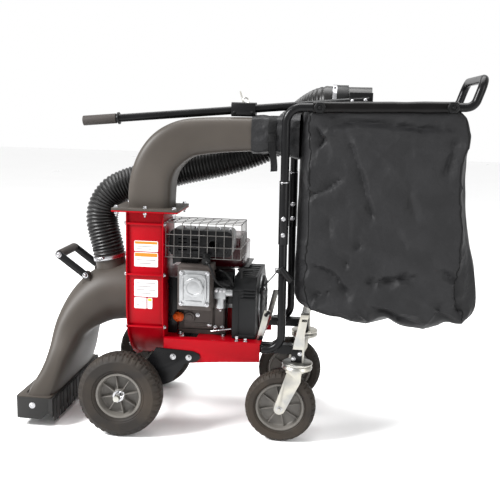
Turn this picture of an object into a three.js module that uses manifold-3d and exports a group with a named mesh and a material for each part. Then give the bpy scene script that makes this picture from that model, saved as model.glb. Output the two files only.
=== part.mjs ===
// Leaf vacuum mulcher, in millimetres. +Z is up, the nozzle is towards -X, the bag and the push handle towards +X,
// and the open side of the engine faces -Y. Stations along X are measured from the front axle, and the whole
// machine is then moved by -MIDDLE_X so that its middle is at the origin.
import * as THREE from "three";
import { mergeVertices } from "three/addons/utils/BufferGeometryUtils.js";
import Module from "manifold-3d";

const wasm = await Module();
wasm.setup();

// ---- driving dimensions ----
const MIDDLE_X = 358;
const GAP = 0.4; // clearance between neighbouring pieces

const FRONT = { x: 0, z: 130, y: 233, tyreR: 130, tyreW: 80, rimR: 71, boreR: 9.9, sides: 24 };
const CASTER = { x: 486, z: 108, y: 186, tyreR: 108, tyreW: 60, rimR: 74, boreR: 6.4, sides: 24 };
const KINGPIN_X = 533;
const AXLE_R = 9.5;
const AXLE_END_Y = 289;

const DECK = { x0: 121.6, x1: 420, y: 186, top: 298, sheet: 3 };
const RAIL = { y: 160, side: 28, x0: 330, x1: 515, top: 294.5 };

const FAN = { x0: 6, x1: 121, plate: 4, z: 390, r: 195, neckOut: 195, neckIn: 45, neckTop: 690 };
const FAN_RECESS = 8;
const FAN_SHEET = 3;
const FLANGE = { x0: -32, x1: 168, y0: -220, y1: -45, thick: 4 };
const ROTOR_R = 165;
const SHAFT_R = 11;

const PORT = { x: -84, z: 415, lean: 0.19, length: 125, r: 49, wall: 4 };
const SKIRT_SHEET = 3;
const MOUTH = { x0: -336, x1: -222, y: 232, z0: 60, z1: 98 };

const BAR = { y: -106, r: 12, x0: -150, z0: 947.5, x1: 712, z1: 1027.2, gripEnd: -47 };
const WAND = { x0: 606, x1: 720, y: -38, z: 1017, r: 50, wall: 4 };
const HOSE_R = 52;

const MAST = { y: 188, r: 12.5, x: 479, jointZ: 605, sleeveR: 14.5, sleeveTop: 792 };
const HANDLE = { x: 1000, z: 1015.5, topX: 1026, topZ: 1094 };

// ---- finishes: colour, roughness, metalness ----
const FINISH = {
  red_paint: [0xb40a1e, 0.35, 0.2],
  black_paint: [0x17171a, 0.4, 0.3],
  zinc: [0xc9ccd0, 0.35, 0.9],
  duct_plastic: [0x57534e, 0.55, 0],
  hose_plastic: [0x26262a, 0.5, 0],
  black_plastic: [0x1c1c1f, 0.5, 0],
  shroud_plastic: [0x38393c, 0.45, 0],
  grip_rubber: [0x4d4743, 0.8, 0],
  skirt_rubber: [0x2e2d2c, 0.8, 0],
  tyre: [0x3a3734, 0.85, 0],
  rim_plastic: [0x8d8a84, 0.6, 0],
  engine_metal: [0x6b645f, 0.6, 0.7],
  cast_aluminium: [0xb4b7ba, 0.45, 0.9],
  tank_paint: [0x4a0d12, 0.3, 0.2],
  bag_fabric: [0x2b2b2d, 0.9, 0],
  orange_plastic: [0xd9561a, 0.5, 0],
};

const machine = new THREE.Group();
machine.name = "leaf_vacuum_mulcher";
machine.position.x = -MIDDLE_X;

// ---- geometry helpers ----
const vec = (x, y, z) => new THREE.Vector3(x, y, z);

// A curve through hand-set points that keeps each one as a step, with a mitred direction at every point.
class Route extends THREE.Curve {
  constructor(points) {
    super();
    this.points = points;
  }
  getPoint(t, target = new THREE.Vector3()) {
    const along = t * (this.points.length - 1);
    const i = Math.min(Math.floor(along), this.points.length - 2);
    return target.lerpVectors(this.points[i], this.points[i + 1], along - i);
  }
  getPointAt(u, target) {
    return this.getPoint(u, target);
  }
  getTangentAt(u, target = new THREE.Vector3()) {
    const last = this.points.length - 1;
    const i = Math.round(u * last);
    target.set(0, 0, 0);
    if (i > 0) target.add(this.points[i].clone().sub(this.points[i - 1]).normalize());
    if (i < last) target.add(this.points[i + 1].clone().sub(this.points[i]).normalize());
    return target.normalize();
  }
}

function signedVolume(geometry) {
  const flat = geometry.index ? geometry.toNonIndexed() : geometry;
  const p = flat.getAttribute("position");
  let sum = 0;
  const [a, b, c] = [vec(0, 0, 0), vec(0, 0, 0), vec(0, 0, 0)];
  for (let i = 0; i < p.count; i += 3) {
    a.fromBufferAttribute(p, i);
    b.fromBufferAttribute(p, i + 1);
    c.fromBufferAttribute(p, i + 2);
    sum += a.dot(b.cross(c));
  }
  return sum;
}

// Position-only, welded, with its faces outwards.
function closed(geometry) {
  const flat = geometry.index ? geometry.toNonIndexed() : geometry;
  const bare = new THREE.BufferGeometry().setAttribute("position", flat.getAttribute("position"));
  const merged = mergeVertices(bare, 1e-3);
  if (signedVolume(merged) < 0) merged.index.array.reverse();
  return merged;
}

function solidOf(geometry) {
  const merged = closed(geometry);
  return new wasm.Manifold(
    new wasm.Mesh({
      numProp: 3,
      vertProperties: merged.attributes.position.array,
      triVerts: new Uint32Array(merged.index.array),
    }),
  );
}

function geometryOf(solid) {
  const made = solid.getMesh();
  return new THREE.BufferGeometry()
    .setAttribute("position", new THREE.BufferAttribute(made.vertProperties, 3))
    .setIndex(new THREE.BufferAttribute(made.triVerts, 1));
}

function join(...geometries) {
  return geometryOf(geometries.map(solidOf).reduce((all, next) => all.add(next)));
}

function cut(base, ...tools) {
  return geometryOf(tools.map(solidOf).reduce((left, tool) => left.subtract(tool), solidOf(base)));
}

function box(x0, x1, y0, y1, z0, z1) {
  return new THREE.BoxGeometry(x1 - x0, y1 - y0, z1 - z0).translate((x0 + x1) / 2, (y0 + y1) / 2, (z0 + z1) / 2);
}

// A round bar between two points.
function rod(from, to, r, sides = 12, endR = r) {
  const along = to.clone().sub(from);
  const made = new THREE.CylinderGeometry(endR, r, along.length(), sides);
  made.applyQuaternion(new THREE.Quaternion().setFromUnitVectors(vec(0, 1, 0), along.clone().normalize()));
  return made.translate(...from.clone().add(to).multiplyScalar(0.5).toArray());
}

// An outline of [u, v] pairs carried from one station to another: along X the pairs are (y, z), along Y they are
// (x, z), and along Z they are (x, y).
function prism(axis, outline, from, to, holes = []) {
  const shape = new THREE.Shape(outline.map(([u, v]) => new THREE.Vector2(u, v)));
  for (const hole of holes) shape.holes.push(new THREE.Path(hole.map(([u, v]) => new THREE.Vector2(u, v))));
  const made = new THREE.ExtrudeGeometry(shape, { depth: to - from, bevelEnabled: false, steps: 1 });
  const basis = new THREE.Matrix4();
  if (axis === "x") basis.makeBasis(vec(0, 1, 0), vec(0, 0, 1), vec(1, 0, 0)).setPosition(from, 0, 0);
  if (axis === "y") basis.makeBasis(vec(1, 0, 0), vec(0, 0, 1), vec(0, 1, 0)).setPosition(0, from, 0);
  if (axis === "z") basis.setPosition(0, 0, from);
  return closed(made.applyMatrix4(basis));
}

function circle(u, v, r, sides, turn = 0) {
  return Array.from({ length: sides }, (_, i) => {
    const a = turn + (2 * Math.PI * i) / sides;
    return [u + r * Math.cos(a), v + r * Math.sin(a)];
  });
}

function arc(u, v, r, fromDeg, toDeg, steps) {
  return Array.from({ length: steps + 1 }, (_, i) => {
    const a = THREE.MathUtils.degToRad(fromDeg + ((toDeg - fromDeg) * i) / steps);
    return [u + r * Math.cos(a), v + r * Math.sin(a)];
  });
}

function roundedBox(u0, u1, v0, v1, r, steps = 2) {
  return [
    ...arc(u1 - r, v1 - r, r, 0, 90, steps),
    ...arc(u0 + r, v1 - r, r, 90, 180, steps),
    ...arc(u0 + r, v0 + r, r, 180, 270, steps),
    ...arc(u1 - r, v0 + r, r, 270, 360, steps),
  ];
}

// A round tube or bar along hand-set points.
function tube(points, r, sides) {
  const shape = new THREE.Shape(circle(0, 0, r, sides).map(([u, v]) => new THREE.Vector2(u, v)));
  const settings = { steps: points.length - 1, bevelEnabled: false, extrudePath: new Route(points) };
  return closed(new THREE.ExtrudeGeometry(shape, settings));
}

// The corner points of a polyline, with each inner corner turned into a bend of its own radius.
function bent(corners, radii, steps = 4) {
  const path = [corners[0]];
  for (let i = 1; i < corners.length - 1; i += 1) {
    const back = corners[i - 1].clone().sub(corners[i]).normalize();
    const on = corners[i + 1].clone().sub(corners[i]).normalize();
    const half = back.angleTo(on) / 2;
    const r = radii[i - 1];
    const run = r / Math.tan(half);
    const centre = back.clone().add(on).normalize().multiplyScalar(r / Math.sin(half)).add(corners[i]);
    const a = corners[i].clone().addScaledVector(back, run).sub(centre);
    const b = corners[i].clone().addScaledVector(on, run).sub(centre);
    const sweep = a.angleTo(b);
    for (let k = 0; k <= steps; k += 1) {
      const t = k / steps;
      const wa = Math.sin((1 - t) * sweep) / Math.sin(sweep);
      const wb = Math.sin(t * sweep) / Math.sin(sweep);
      path.push(centre.clone().addScaledVector(a, wa).addScaledVector(b, wb));
    }
  }
  path.push(corners.at(-1));
  return path;
}

// A closed solid through rings of equally many points.
function loft(rings) {
  const n = rings[0].length;
  const points = rings.flat();
  const faces = [];
  for (let i = 0; i < rings.length - 1; i += 1) {
    for (let k = 0; k < n; k += 1) {
      const a = i * n + k;
      const b = i * n + ((k + 1) % n);
      faces.push(a, b, b + n, a, b + n, a + n);
    }
  }
  const last = (rings.length - 1) * n;
  for (let k = 1; k < n - 1; k += 1) {
    faces.push(0, k + 1, k, last, last + k, last + k + 1);
  }
  return closed(new THREE.BufferGeometry().setFromPoints(points).setIndex(faces));
}

// A closed profile of [radius, along] pairs turned about an axis through (x, y, z).
function turned(axis, profile, sides, x, y, z) {
  const made = new THREE.LatheGeometry(profile.map(([r, h]) => new THREE.Vector2(r, h)), sides);
  if (axis === "x") made.rotateZ(-Math.PI / 2);
  if (axis === "z") made.rotateX(Math.PI / 2);
  return closed(made.translate(x, y, z));
}

// Profile that closes on itself.
const loop = (profile) => [...profile, profile[0]];

// Ring of a rounded-rectangle duct: a is the half size in the X-Z plane, b the half size along Y, and power 2 is
// an ellipse.
function ductRing({ x, z, a, b, y = 0, power = 5 }, side, sides) {
  return Array.from({ length: sides }, (_, i) => {
    const t = (2 * Math.PI * (i + 0.5)) / sides;
    const c = Math.cos(t);
    const s = Math.sin(t);
    const u = a * Math.sign(c) * Math.abs(c) ** (2 / power);
    const v = b * Math.sign(s) * Math.abs(s) ** (2 / power);
    return vec(x + side.x * u, y + v, z + side.z * u);
  });
}

// Rings square to the run of a duct's stations, grown or shrunk by offset.
function ductRings(stations, offset, sides) {
  return stations.map((station, i) => {
    const before = stations[Math.max(i - 1, 0)];
    const after = stations[Math.min(i + 1, stations.length - 1)];
    const run = station.run ?? [after.x - before.x, after.z - before.z];
    const length = Math.hypot(...run);
    const side = { x: -run[1] / length, z: run[0] / length };
    return ductRing({ ...station, a: station.a + offset, b: station.b + offset }, side, sides);
  });
}

function add(name, geometry, finish) {
  const [color, roughness, metalness] = FINISH[finish];
  const made = new THREE.Mesh(closed(geometry), new THREE.MeshStandardMaterial({ color, roughness, metalness }));
  made.geometry.computeVertexNormals();
  made.name = name;
  machine.add(made);
}

// Left is +Y, right is -Y.
const SIDES = [
  ["left", 1],
  ["right", -1],
];

// ---- wheels ----
function tyre({ tyreR, tyreW, rimR, sides }) {
  const inner = rimR + GAP;
  const h = tyreR - inner;
  const half = [
    [inner, 0.36],
    [inner + 0.4 * h, 0.49],
    [inner + 0.78 * h, 0.46],
    [tyreR - 2.5, 0.3],
  ];
  const up = half.map(([r, w]) => [r, w * tyreW]);
  const down = half.map(([r, w]) => [r, -w * tyreW]).reverse();
  return { profile: loop([...up, [tyreR, 0], ...down]), sides };
}

function addWheel(prefix, suffix, w, y, outward) {
  const { profile, sides } = tyre(w);
  add(`${prefix}_tyre_${suffix}`, turned("y", profile, sides, w.x, y, w.z), "tyre");
  const hub = 19;
  const hubHalf = 0.3 * w.tyreW;
  const lip = 0.38 * w.tyreW;
  const rim = [
    [w.boreR, -hubHalf],
    [hub, -hubHalf],
    [hub, -4],
    [w.rimR - 12, -4],
    [w.rimR - 7, -lip],
    [w.rimR, -lip],
    [w.rimR, lip],
    [w.rimR - 7, lip],
    [w.rimR - 12, 4],
    [hub, 4],
    [hub, hubHalf],
    [w.boreR, hubHalf],
  ];
  const ribs = [];
  for (let i = 0; i < 8; i += 1) {
    const rib = box(hub - 2, w.rimR - 8, -3, hubHalf - 3, -1.6, 1.6);
    if (outward < 0) rib.scale(1, -1, 1);
    ribs.push(rib.rotateY((i * Math.PI) / 4 + 0.2).translate(w.x, y, w.z));
  }
  add(`${prefix}_rim_${suffix}`, join(turned("y", loop(rim), sides, w.x, y, w.z), ...ribs), "rim_plastic");
}

function addFrontWheels() {
  add("front_axle", rod(vec(0, -AXLE_END_Y, FRONT.z), vec(0, AXLE_END_Y, FRONT.z), AXLE_R, 16), "zinc");
  for (const [suffix, s] of SIDES) addWheel("front", suffix, FRONT, s * FRONT.y, s);
}

function addCaster(suffix, s) {
  const y = s * CASTER.y;
  addWheel("caster", suffix, CASTER, y, s);
  const leg = [[549, 225], [547, 196], ...arc(CASTER.x, CASTER.z, 17, -20, -205, 7), [505, 225]];
  const crown = prism("z", roundedBox(500, 556, y - 38, y + 38, 8), 224, 228);
  const bolt = rod(vec(CASTER.x, y - 46, CASTER.z), vec(CASTER.x, y + 46, CASTER.z), 6, 10);
  const race = turned("z", [[0, 227], [44, 227], [46, 232], [43, 239.6], [0, 239.6]], 22, KINGPIN_X, y, 0);
  const legs = [-1, 1].map((t) => prism("y", leg, y + 36 * t - 2, y + 36 * t + 2));
  add(`caster_fork_${suffix}`, join(crown, bolt, race, ...legs), "zinc");
}

// Black square rail with the block that holds a caster, and the zinc upright above the block.
function addRearRail(suffix, s) {
  const inner = RAIL.y - RAIL.side / 2;
  const [y0, y1] = [s * inner, s * (RAIL.y + RAIL.side / 2)].sort((a, b) => a - b);
  const [b0, b1] = [s * inner, s * 201].sort((a, b) => a - b);
  const rail = box(RAIL.x0, RAIL.x1 + 1, y0, y1, RAIL.top - RAIL.side, RAIL.top);
  const block = box(RAIL.x1, RAIL.x1 + 32, b0, b1, 251, 289);
  add(`rear_rail_${suffix}`, join(rail, block), "black_paint");

  const y = s * CASTER.y;
  const race = turned("z", [[0, 240], [43, 240], [46, 243], [46, 247], [40, 250.4], [0, 250.4]], 22, KINGPIN_X, y, 0);
  const leg = box(RAIL.x1 + 32.6, RAIL.x1 + 37, y - 13, y + 13, 247, 330);
  const front = [[519, 289.6], [552, 289.6], [552, 330], [564, 397], [539, 397]];
  const hollow = [[522.5, 293], [570, 293], [570, 394], [542, 394]];
  const channel = cut(
    prism("y", front, y - 13, y + 13),
    prism("y", hollow, y - 10, y + 10),
    box(543, 560, y - 20, y + 20, 376, 384),
  );
  add(`caster_mount_${suffix}`, join(race, leg, channel), "zinc");
}

// ---- frame ----
function addChassis() {
  const { x0, x1, y, top, sheet } = DECK;
  const skirt = [[x0, top], [x0, 216], [300, 232], [418, 239], [418, top]];
  const deck = prism("z", [[x0, -y], [x1, -y], [x1, y], [x0, y]], top - sheet, top, [
    [[168, -158], [218, -156], [218, -60], [168, -60]],
  ]);
  const front = box(x0, x0 + sheet, -y + 1, y - 1, 250, top - 1);
  const skirts = SIDES.map(([, s]) => prism("y", skirt, Math.min(s * y, s * (y - sheet)), Math.max(s * y, s * (y - sheet))));
  add("chassis_deck", join(deck, front, ...skirts), "red_paint");

  const plate = [
    [95, 262], [60, 215], [12, 163], [-14, 150], [-22, 130], [-14, 112], [0, 106], [60, 118], [150, 165],
    [190, 222], [226, 230], [236, 240], [234, 254], [215, 262], [100, 268],
  ];
  for (const [suffix, s] of SIDES) {
    const [near, far] = [s * (y + GAP), s * (y + GAP + 4)].sort((a, b) => a - b);
    const made = prism("y", plate, near, far, [circle(0, FRONT.z, AXLE_R + GAP, 12)]);
    add(`axle_bracket_${suffix}`, made, "black_paint");
  }
}

function mastRoute(s) {
  const y = s * MAST.y;
  const corners = [vec(424, y, 281), vec(483, y, 281), vec(MAST.x, y, MAST.jointZ)];
  return bent(corners, [48]);
}

function upperRoute(s) {
  const y = s * MAST.y;
  const corners = [vec(MAST.x, y, MAST.jointZ + GAP), vec(477, y, 1002.5), vec(951, y, 1013.4)];
  return bent(corners, [45], 5);
}

function addFrame() {
  for (const [suffix, s] of SIDES) {
    const y = s * MAST.y;
    const lower = tube(mastRoute(s), MAST.r, 12);
    const guide = cut(
      box(459, 479, y - 19, y - 6, 522, 536),
      rod(vec(464.5, y - 30, 529), vec(464.5, y + 5, 529), 4, 8),
    );
    add(`mast_lower_${suffix}`, s < 0 ? join(lower, guide) : lower, "black_paint");
    const sleeve = rod(vec(MAST.x, y, MAST.jointZ + GAP), vec(MAST.x - 1.3, y, MAST.sleeveTop), MAST.sleeveR, 12);
    const [frontKnob, rearKnob] = KNOB_XS.map((x, i) => {
      const z = 1002.5 + (x - 477) * 0.023;
      const stem = rod(vec(x, y + s * (i === 0 ? 8 : MAST.r + 0.6), z), vec(x, y + s * 20, z), 6, 8);
      return join(stem, rod(vec(x, y + s * (FLAP.half + 0.7), z), vec(x, y + s * (FLAP.half + 18), z), 16, 12));
    });
    add(`upper_frame_${suffix}`, join(tube(upperRoute(s), MAST.r, 12), sleeve, frontKnob), "black_paint");
    add(`handle_knob_${suffix}`, rearKnob, "black_plastic");
  }
  const { y } = MAST;
  const corners = [
    vec(951.6, -y, 1013.4), vec(HANDLE.x, -y, HANDLE.z), vec(HANDLE.topX, -y, HANDLE.topZ),
    vec(HANDLE.topX, y, HANDLE.topZ), vec(HANDLE.x, y, HANDLE.z), vec(951.6, y, 1013.4),
  ];
  add("handle_bar", tube(bent(corners, [30, 36, 36, 30]), MAST.r, 12), "black_paint");
}

// ---- fan housing ----
// Outline (y, z) of the drum with its outlet neck, inset by the given distance, open at the top of the neck.
function housingOutline(inset, top) {
  const r = FAN.r - inset;
  const near = -(FAN.neckOut - inset);
  const far = -(FAN.neckIn + inset);
  const end = THREE.MathUtils.radToDeg(Math.acos(far / r));
  return [[near, top], ...arc(0, FAN.z, r, 180, 360 + end, 20), [far, top]];
}

function addFanHousing() {
  const top = FAN.neckTop - FLANGE.thick - GAP;
  const outline = housingOutline(0, top);
  const front = prism("x", outline, FAN.x0, FAN.x0 + FAN.plate, [circle(0, FAN.z, 80, 24)]);
  const rear = prism("x", outline, FAN.x1 - FAN.plate, FAN.x1, [circle(0, FAN.z, 20, 16)]);
  add("fan_front_plate", front, "red_paint");
  add("fan_rear_plate", rear, "red_paint");

  const [x0, x1] = [FAN.x0 + FAN.plate + GAP, FAN.x1 - FAN.plate - GAP];
  const high = FAN.neckTop - 1;
  const band = [...housingOutline(FAN_RECESS, high), ...housingOutline(FAN_RECESS + FAN_SHEET, high).reverse()];
  const inY = [-(FAN.neckOut - FAN_RECESS - FAN_SHEET), -(FAN.neckIn + FAN_RECESS + FAN_SHEET)];
  const plate = [[FLANGE.x0, FLANGE.y0], [FLANGE.x1, FLANGE.y0], [FLANGE.x1, FLANGE.y1], [FLANGE.x0, FLANGE.y1]];
  const port = [[x0, inY[0]], [x1, inY[0]], [x1, inY[1]], [x0, inY[1]]];
  const flange = prism("z", plate, FAN.neckTop - FLANGE.thick, FAN.neckTop, [port]);
  const outer = -FAN.neckOut;
  const ribs = [649, 494].map((z) => box(x0, x1, outer, outer + 9, z - 3, z + 3));
  const low = box(x0, x1, -186, -176, 327, 333);
  add("fan_wrapper", join(prism("x", band, x0, x1), flange, ...ribs, low), "red_paint");
}

function addRotor() {
  const back = turned("x", [[0, 94], [ROTOR_R, 94], [ROTOR_R, 98], [0, 98]], 24, 0, 0, FAN.z);
  const shaft = rod(vec(30, 0, FAN.z), vec(151.4, 0, FAN.z), SHAFT_R, 12);
  const hub = rod(vec(62, 0, FAN.z), vec(96, 0, FAN.z), 26, 14);
  const blades = Array.from({ length: 5 }, (_, i) =>
    box(26, 95, -2.5, 2.5, 20, ROTOR_R - 4).rotateX((i * 2 * Math.PI) / 5).translate(0, 0, FAN.z),
  );
  add("impeller", join(back, shaft, hub, ...blades), "zinc");
}

// ---- ducts ----
const CHUTE = [
  { x: 70, z: FAN.neckTop + GAP, a: 65, b: 63, y: -122, run: [0, 1] },
  { x: 71, z: 740, a: 66, b: 64, y: -124 },
  { x: 78, z: 790, a: 64, b: 65, y: -125 },
  { x: 95, z: 835, a: 63, b: 65, y: -122 },
  { x: 123, z: 871, a: 63, b: 65, y: -116 },
  { x: 160, z: 896, a: 60, b: 64, y: -110 },
  { x: 204, z: 909, a: 56, b: 63, y: -105 },
  { x: 290, z: 917, a: 52, b: 62, y: -100 },
  { x: 388, z: 921, a: 49.5, b: 62, y: -97 },
  { x: 452, z: 922, a: 48, b: 61, y: -96, run: [1, 0] },
];

// The inner rings reach past both ends, so that the cut leaves them open.
function inside(stations, wall, first, last) {
  const shrunk = stations.map((s) => ({ ...s, a: s.a - wall, b: s.b - wall }));
  const moved = (s, [dx, dz]) => ({ ...s, x: s.x + dx, z: s.z + dz });
  shrunk[0] = moved(shrunk[0], first);
  shrunk[shrunk.length - 1] = moved(shrunk.at(-1), last);
  return shrunk;
}

function addChute() {
  const outer = loft(ductRings(CHUTE, 0, 16));
  const inner = loft(ductRings(inside(CHUTE, 4, [0, -6], [6, 0]), 0, 16));
  const base = box(FLANGE.x0, FLANGE.x1, FLANGE.y0, FLANGE.y1, FAN.neckTop + GAP, FAN.neckTop + 8);
  add("discharge_chute", cut(join(outer, base), inner), "duct_plastic");
}

const NOZZLE = [
  { x: 5.6, z: 398, a: 93, b: 93, power: 2, run: [-1, 0] },
  { x: -55, z: 398, a: 93, b: 93, power: 2.1, run: [-1, 0] },
  { x: -110, z: 385, a: 90, b: 98, power: 2.3 },
  { x: -165, z: 345, a: 76, b: 112, power: 2.6 },
  { x: -205, z: 290, a: 56, b: 140, power: 3.2 },
  { x: -222, z: 222, a: 43, b: 178, power: 4 },
  { x: -240, z: 160, a: 40, b: 204, power: 5 },
  { x: -267, z: 98, a: 42, b: 224, power: 7, run: [-0.25, -1] },
  { x: -272, z: 66, a: 45, b: 226, power: 8, run: [-0.1, -1] },
];

function addNozzle() {
  const outer = loft(ductRings(NOZZLE, 0, 20));
  const inner = loft(ductRings(inside(NOZZLE, 4, [6, 0], [-1, -12]), 0, 20));
  const rimShape = prism("z", roundedBox(MOUTH.x0, MOUTH.x1, -MOUTH.y, MOUTH.y, 14), MOUTH.z0, MOUTH.z1);
  const rimHollow = prism("z", roundedBox(MOUTH.x0 + 4, MOUTH.x1 - 4, -MOUTH.y + 4, MOUTH.y - 4, 10), 50, MOUTH.z1 - 4);
  const up = vec(-PORT.lean, 0, 1).normalize();
  const foot = vec(PORT.x, 0, PORT.z);
  const top = foot.clone().addScaledVector(up, PORT.length);
  const port = rod(foot, top, PORT.r, 20);
  const bore = rod(foot.clone().addScaledVector(up, -40), top.clone().addScaledVector(up, 5), PORT.r - PORT.wall, 20);
  const lugs = SIDES.map(([, s]) => {
    const shape = [...arc(LIFT.px, LIFT.pz, 11, 0, 180, 5), [LIFT.px - 11, 400], [LIFT.px + 11, 400]];
    const [near, far] = [s * (LIFT.y + 3), s * (LIFT.y + 7)].sort((a, b) => a - b);
    return prism("y", shape, near, far, [circle(LIFT.px, LIFT.pz, 5.6, 8)]);
  });
  add("nozzle_duct", cut(join(outer, rimShape, port, ...lugs), inner, rimHollow, bore), "duct_plastic");
}

// Rubber skirt round the front and sides of the mouth, with the strip curtain behind it.
function addSkirt() {
  const t = SKIRT_SHEET;
  const [x0, x1, y] = [MOUTH.x0 - GAP, MOUTH.x1, MOUTH.y + GAP];
  const shell = prism("z", roundedBox(x0 - t, x1, -y - t, y + t, 16), 27, 95);
  const room = prism("z", roundedBox(x0, x1 + 40, -y, y, 14), 20, 100);
  const corner = (s) => prism("y", [[-262, 20], [-215, 20], [-215, 62]], s > 0 ? y - 4 : -y - 20, s > 0 ? y + 20 : -y + 4);
  const curtain = box(x1 + GAP, x1 + GAP + t, -y - t, y + t, 35, 96);
  const tie = (s) => box(x1 - 10, x1 + t, s > 0 ? y : -y - t, s > 0 ? y + t : -y, 50, 95);
  add("nozzle_skirt", join(cut(shell, room, corner(1), corner(-1)), curtain, tie(1), tie(-1)), "skirt_rubber");
}

// ---- lift handle on the nozzle ----
const LIFT = { px: -160, pz: 458, gx: -247, gz: 521, y: 76 };

function addLiftHandle() {
  const a = Math.atan2(LIFT.gz - LIFT.pz, LIFT.gx - LIFT.px);
  const deg = THREE.MathUtils.radToDeg(a);
  const outline = [
    ...arc(LIFT.gx, LIFT.gz, 12, deg - 90, deg + 90, 5),
    ...arc(LIFT.px, LIFT.pz, 12, deg + 90, deg + 270, 5),
  ];
  const arms = SIDES.map(([, s]) => prism("y", outline, s * LIFT.y - 2.5, s * LIFT.y + 2.5));
  const pivots = SIDES.map(([, s]) => rod(vec(LIFT.px, s * (LIFT.y - 1), LIFT.pz), vec(LIFT.px, s * (LIFT.y + 10), LIFT.pz), 5, 8));
  const core = rod(vec(LIFT.gx, -LIFT.y - 1, LIFT.gz), vec(LIFT.gx, LIFT.y + 1, LIFT.gz), 5, 8);
  add("lift_handle_frame", join(...arms, ...pivots, core), "black_paint");
  const grip = turned("y", loop([[5.4, -70], [14, -70], [14, 70], [5.4, 70]]), 14, LIFT.gx, 0, LIFT.gz);
  add("lift_grip", grip, "grip_rubber");
}

// ---- suction hose and wand ----
const HOSE_ROUTE = [
  vec(-108.5, 0, 545), vec(-119, 0, 585), vec(-127, 2, 625), vec(-125, 6, 662), vec(-112, 12, 694),
  vec(-88, 18, 722), vec(-52, 24, 742), vec(0, 30, 760), vec(62, 36, 779), vec(124, 41, 798), vec(204, 44, 817),
  vec(284, 46, 838), vec(340, 47, 857), vec(392, 46, 880), vec(440, 43, 911), vec(478, 34, 944), vec(512, 19, 975),
  vec(543, -8, 998), vec(568, -28, 1011), vec(589, -38, 1017), vec(603.6, -38, 1017),
];

function addHose() {
  add("suction_hose", tube(HOSE_ROUTE, HOSE_R - 2, 12), "hose_plastic");
}

function barAt(x) {
  return vec(x, BAR.y, BAR.z0 + ((x - BAR.x0) * (BAR.z1 - BAR.z0)) / (BAR.x1 - BAR.x0));
}

function addWand() {
  const ring = (x0, x1, r, R) => turned("x", loop([[r, x0], [R, x0], [R, x1], [r, x1]]), 24, 0, WAND.y, WAND.z);
  add("wand_tube", ring(WAND.x0, WAND.x1, WAND.r - WAND.wall, WAND.r), "hose_plastic");
  add("hose_cuff", ring(WAND.x0 - 1.6, 650, WAND.r + GAP, WAND.r + 5), "black_plastic");

  const bar = rod(barAt(BAR.gripEnd + GAP), barAt(BAR.x1), BAR.r, 14);
  const collar = rod(barAt(-42), barAt(-36), 17.5, 14);
  const saddle = cut(
    box(654, 722, BAR.y - 2, -62, 986, 1050),
    rod(vec(640, WAND.y, WAND.z), vec(740, WAND.y, WAND.z), WAND.r + GAP, 24),
  );
  const pinHole = rod(vec(340, BAR.y, 960), vec(340, BAR.y, 1030), 2.9, 8);
  add("wand_bar", cut(join(bar, collar, saddle), pinHole), "black_paint");
  add("wand_grip", rod(barAt(BAR.x0), barAt(BAR.gripEnd), 15, 16), "grip_rubber");
}

function addCradle() {
  const [x0, x1, low, high] = [308, 380, 972.4, 1014];
  const y = BAR.y;
  const cup = prism("x", roundedBox(y - 22, y + 22, low, high, 8), x0, x1);
  const slot = prism("x", [[y - 12.9, 1020], ...arc(y, 990.4, 12.9, 180, 360, 8), [y + 12.9, 1020]], x0 - 5, x1 + 5);
  add("bar_cradle", cut(cup, slot), "black_paint");
  const leg = rod(vec(340, y, 980.4), vec(340, y, 1019), 2.2, 6);
  const shank = rod(vec(340, y, 1018), vec(331, y, 1046), 2.2, 6);
  const eye = Array.from({ length: 10 }, (_, i) => {
    const a = -Math.PI / 2 + (i * 2 * Math.PI * 0.92) / 9;
    return vec(348 + 9 * Math.cos(a), y, 1019 + 9 * Math.sin(a));
  });
  const foot = rod(vec(338, y, 1019), vec(349, y, 1010), 2.2, 6);
  add("cradle_clip", join(leg, shank, foot, tube(eye, 2.2, 6)), "zinc");
}

// ---- collection bag ----
// Level rings of the bag: height, front and rear x, half width and corner roundness.
const BAG = [
  { z: 362, x0: 700, x1: 925, b: 120, power: 3 },
  { z: 380, x0: 655, x1: 985, b: 156, power: 3.2 },
  { z: 405, x0: 600, x1: 1036, b: 174, power: 3.4 },
  { z: 440, x0: 522, x1: 1052, b: 186, power: 3.6 },
  { z: 530, x0: 516.9, x1: 1054, b: 192, power: 4 },
  { z: 660, x0: 516.9, x1: 1012, b: 193, power: 4.6 },
  { z: 790, x0: 516.9, x1: 992, b: 192, power: 5 },
  { z: 914, x0: 516.9, x1: 1004, b: 190, power: 6 },
];
const FLAP = { x0: 556, x1: 956, low: 900, high: 1022, half: 17 };
const KNOB_XS = [573, 941]; // front and rear clamp knobs on the bag bars

function bagRings(inset, shift) {
  return BAG.map(({ z, x0, x1, b, power }, i) => {
    const level = i === 0 ? z + inset : i === BAG.length - 1 ? z - inset : z + shift;
    return Array.from({ length: 20 }, (_, k) => {
      const t = (2 * Math.PI * (k + 0.5)) / 20;
      const c = Math.cos(t);
      const s = Math.sin(t);
      const u = ((x1 - x0) / 2 - inset) * Math.sign(c) * Math.abs(c) ** (2 / power);
      const v = (b - inset) * Math.sign(s) * Math.abs(s) ** (2 / power);
      return vec((x0 + x1) / 2 + u, v, level);
    });
  });
}

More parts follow.
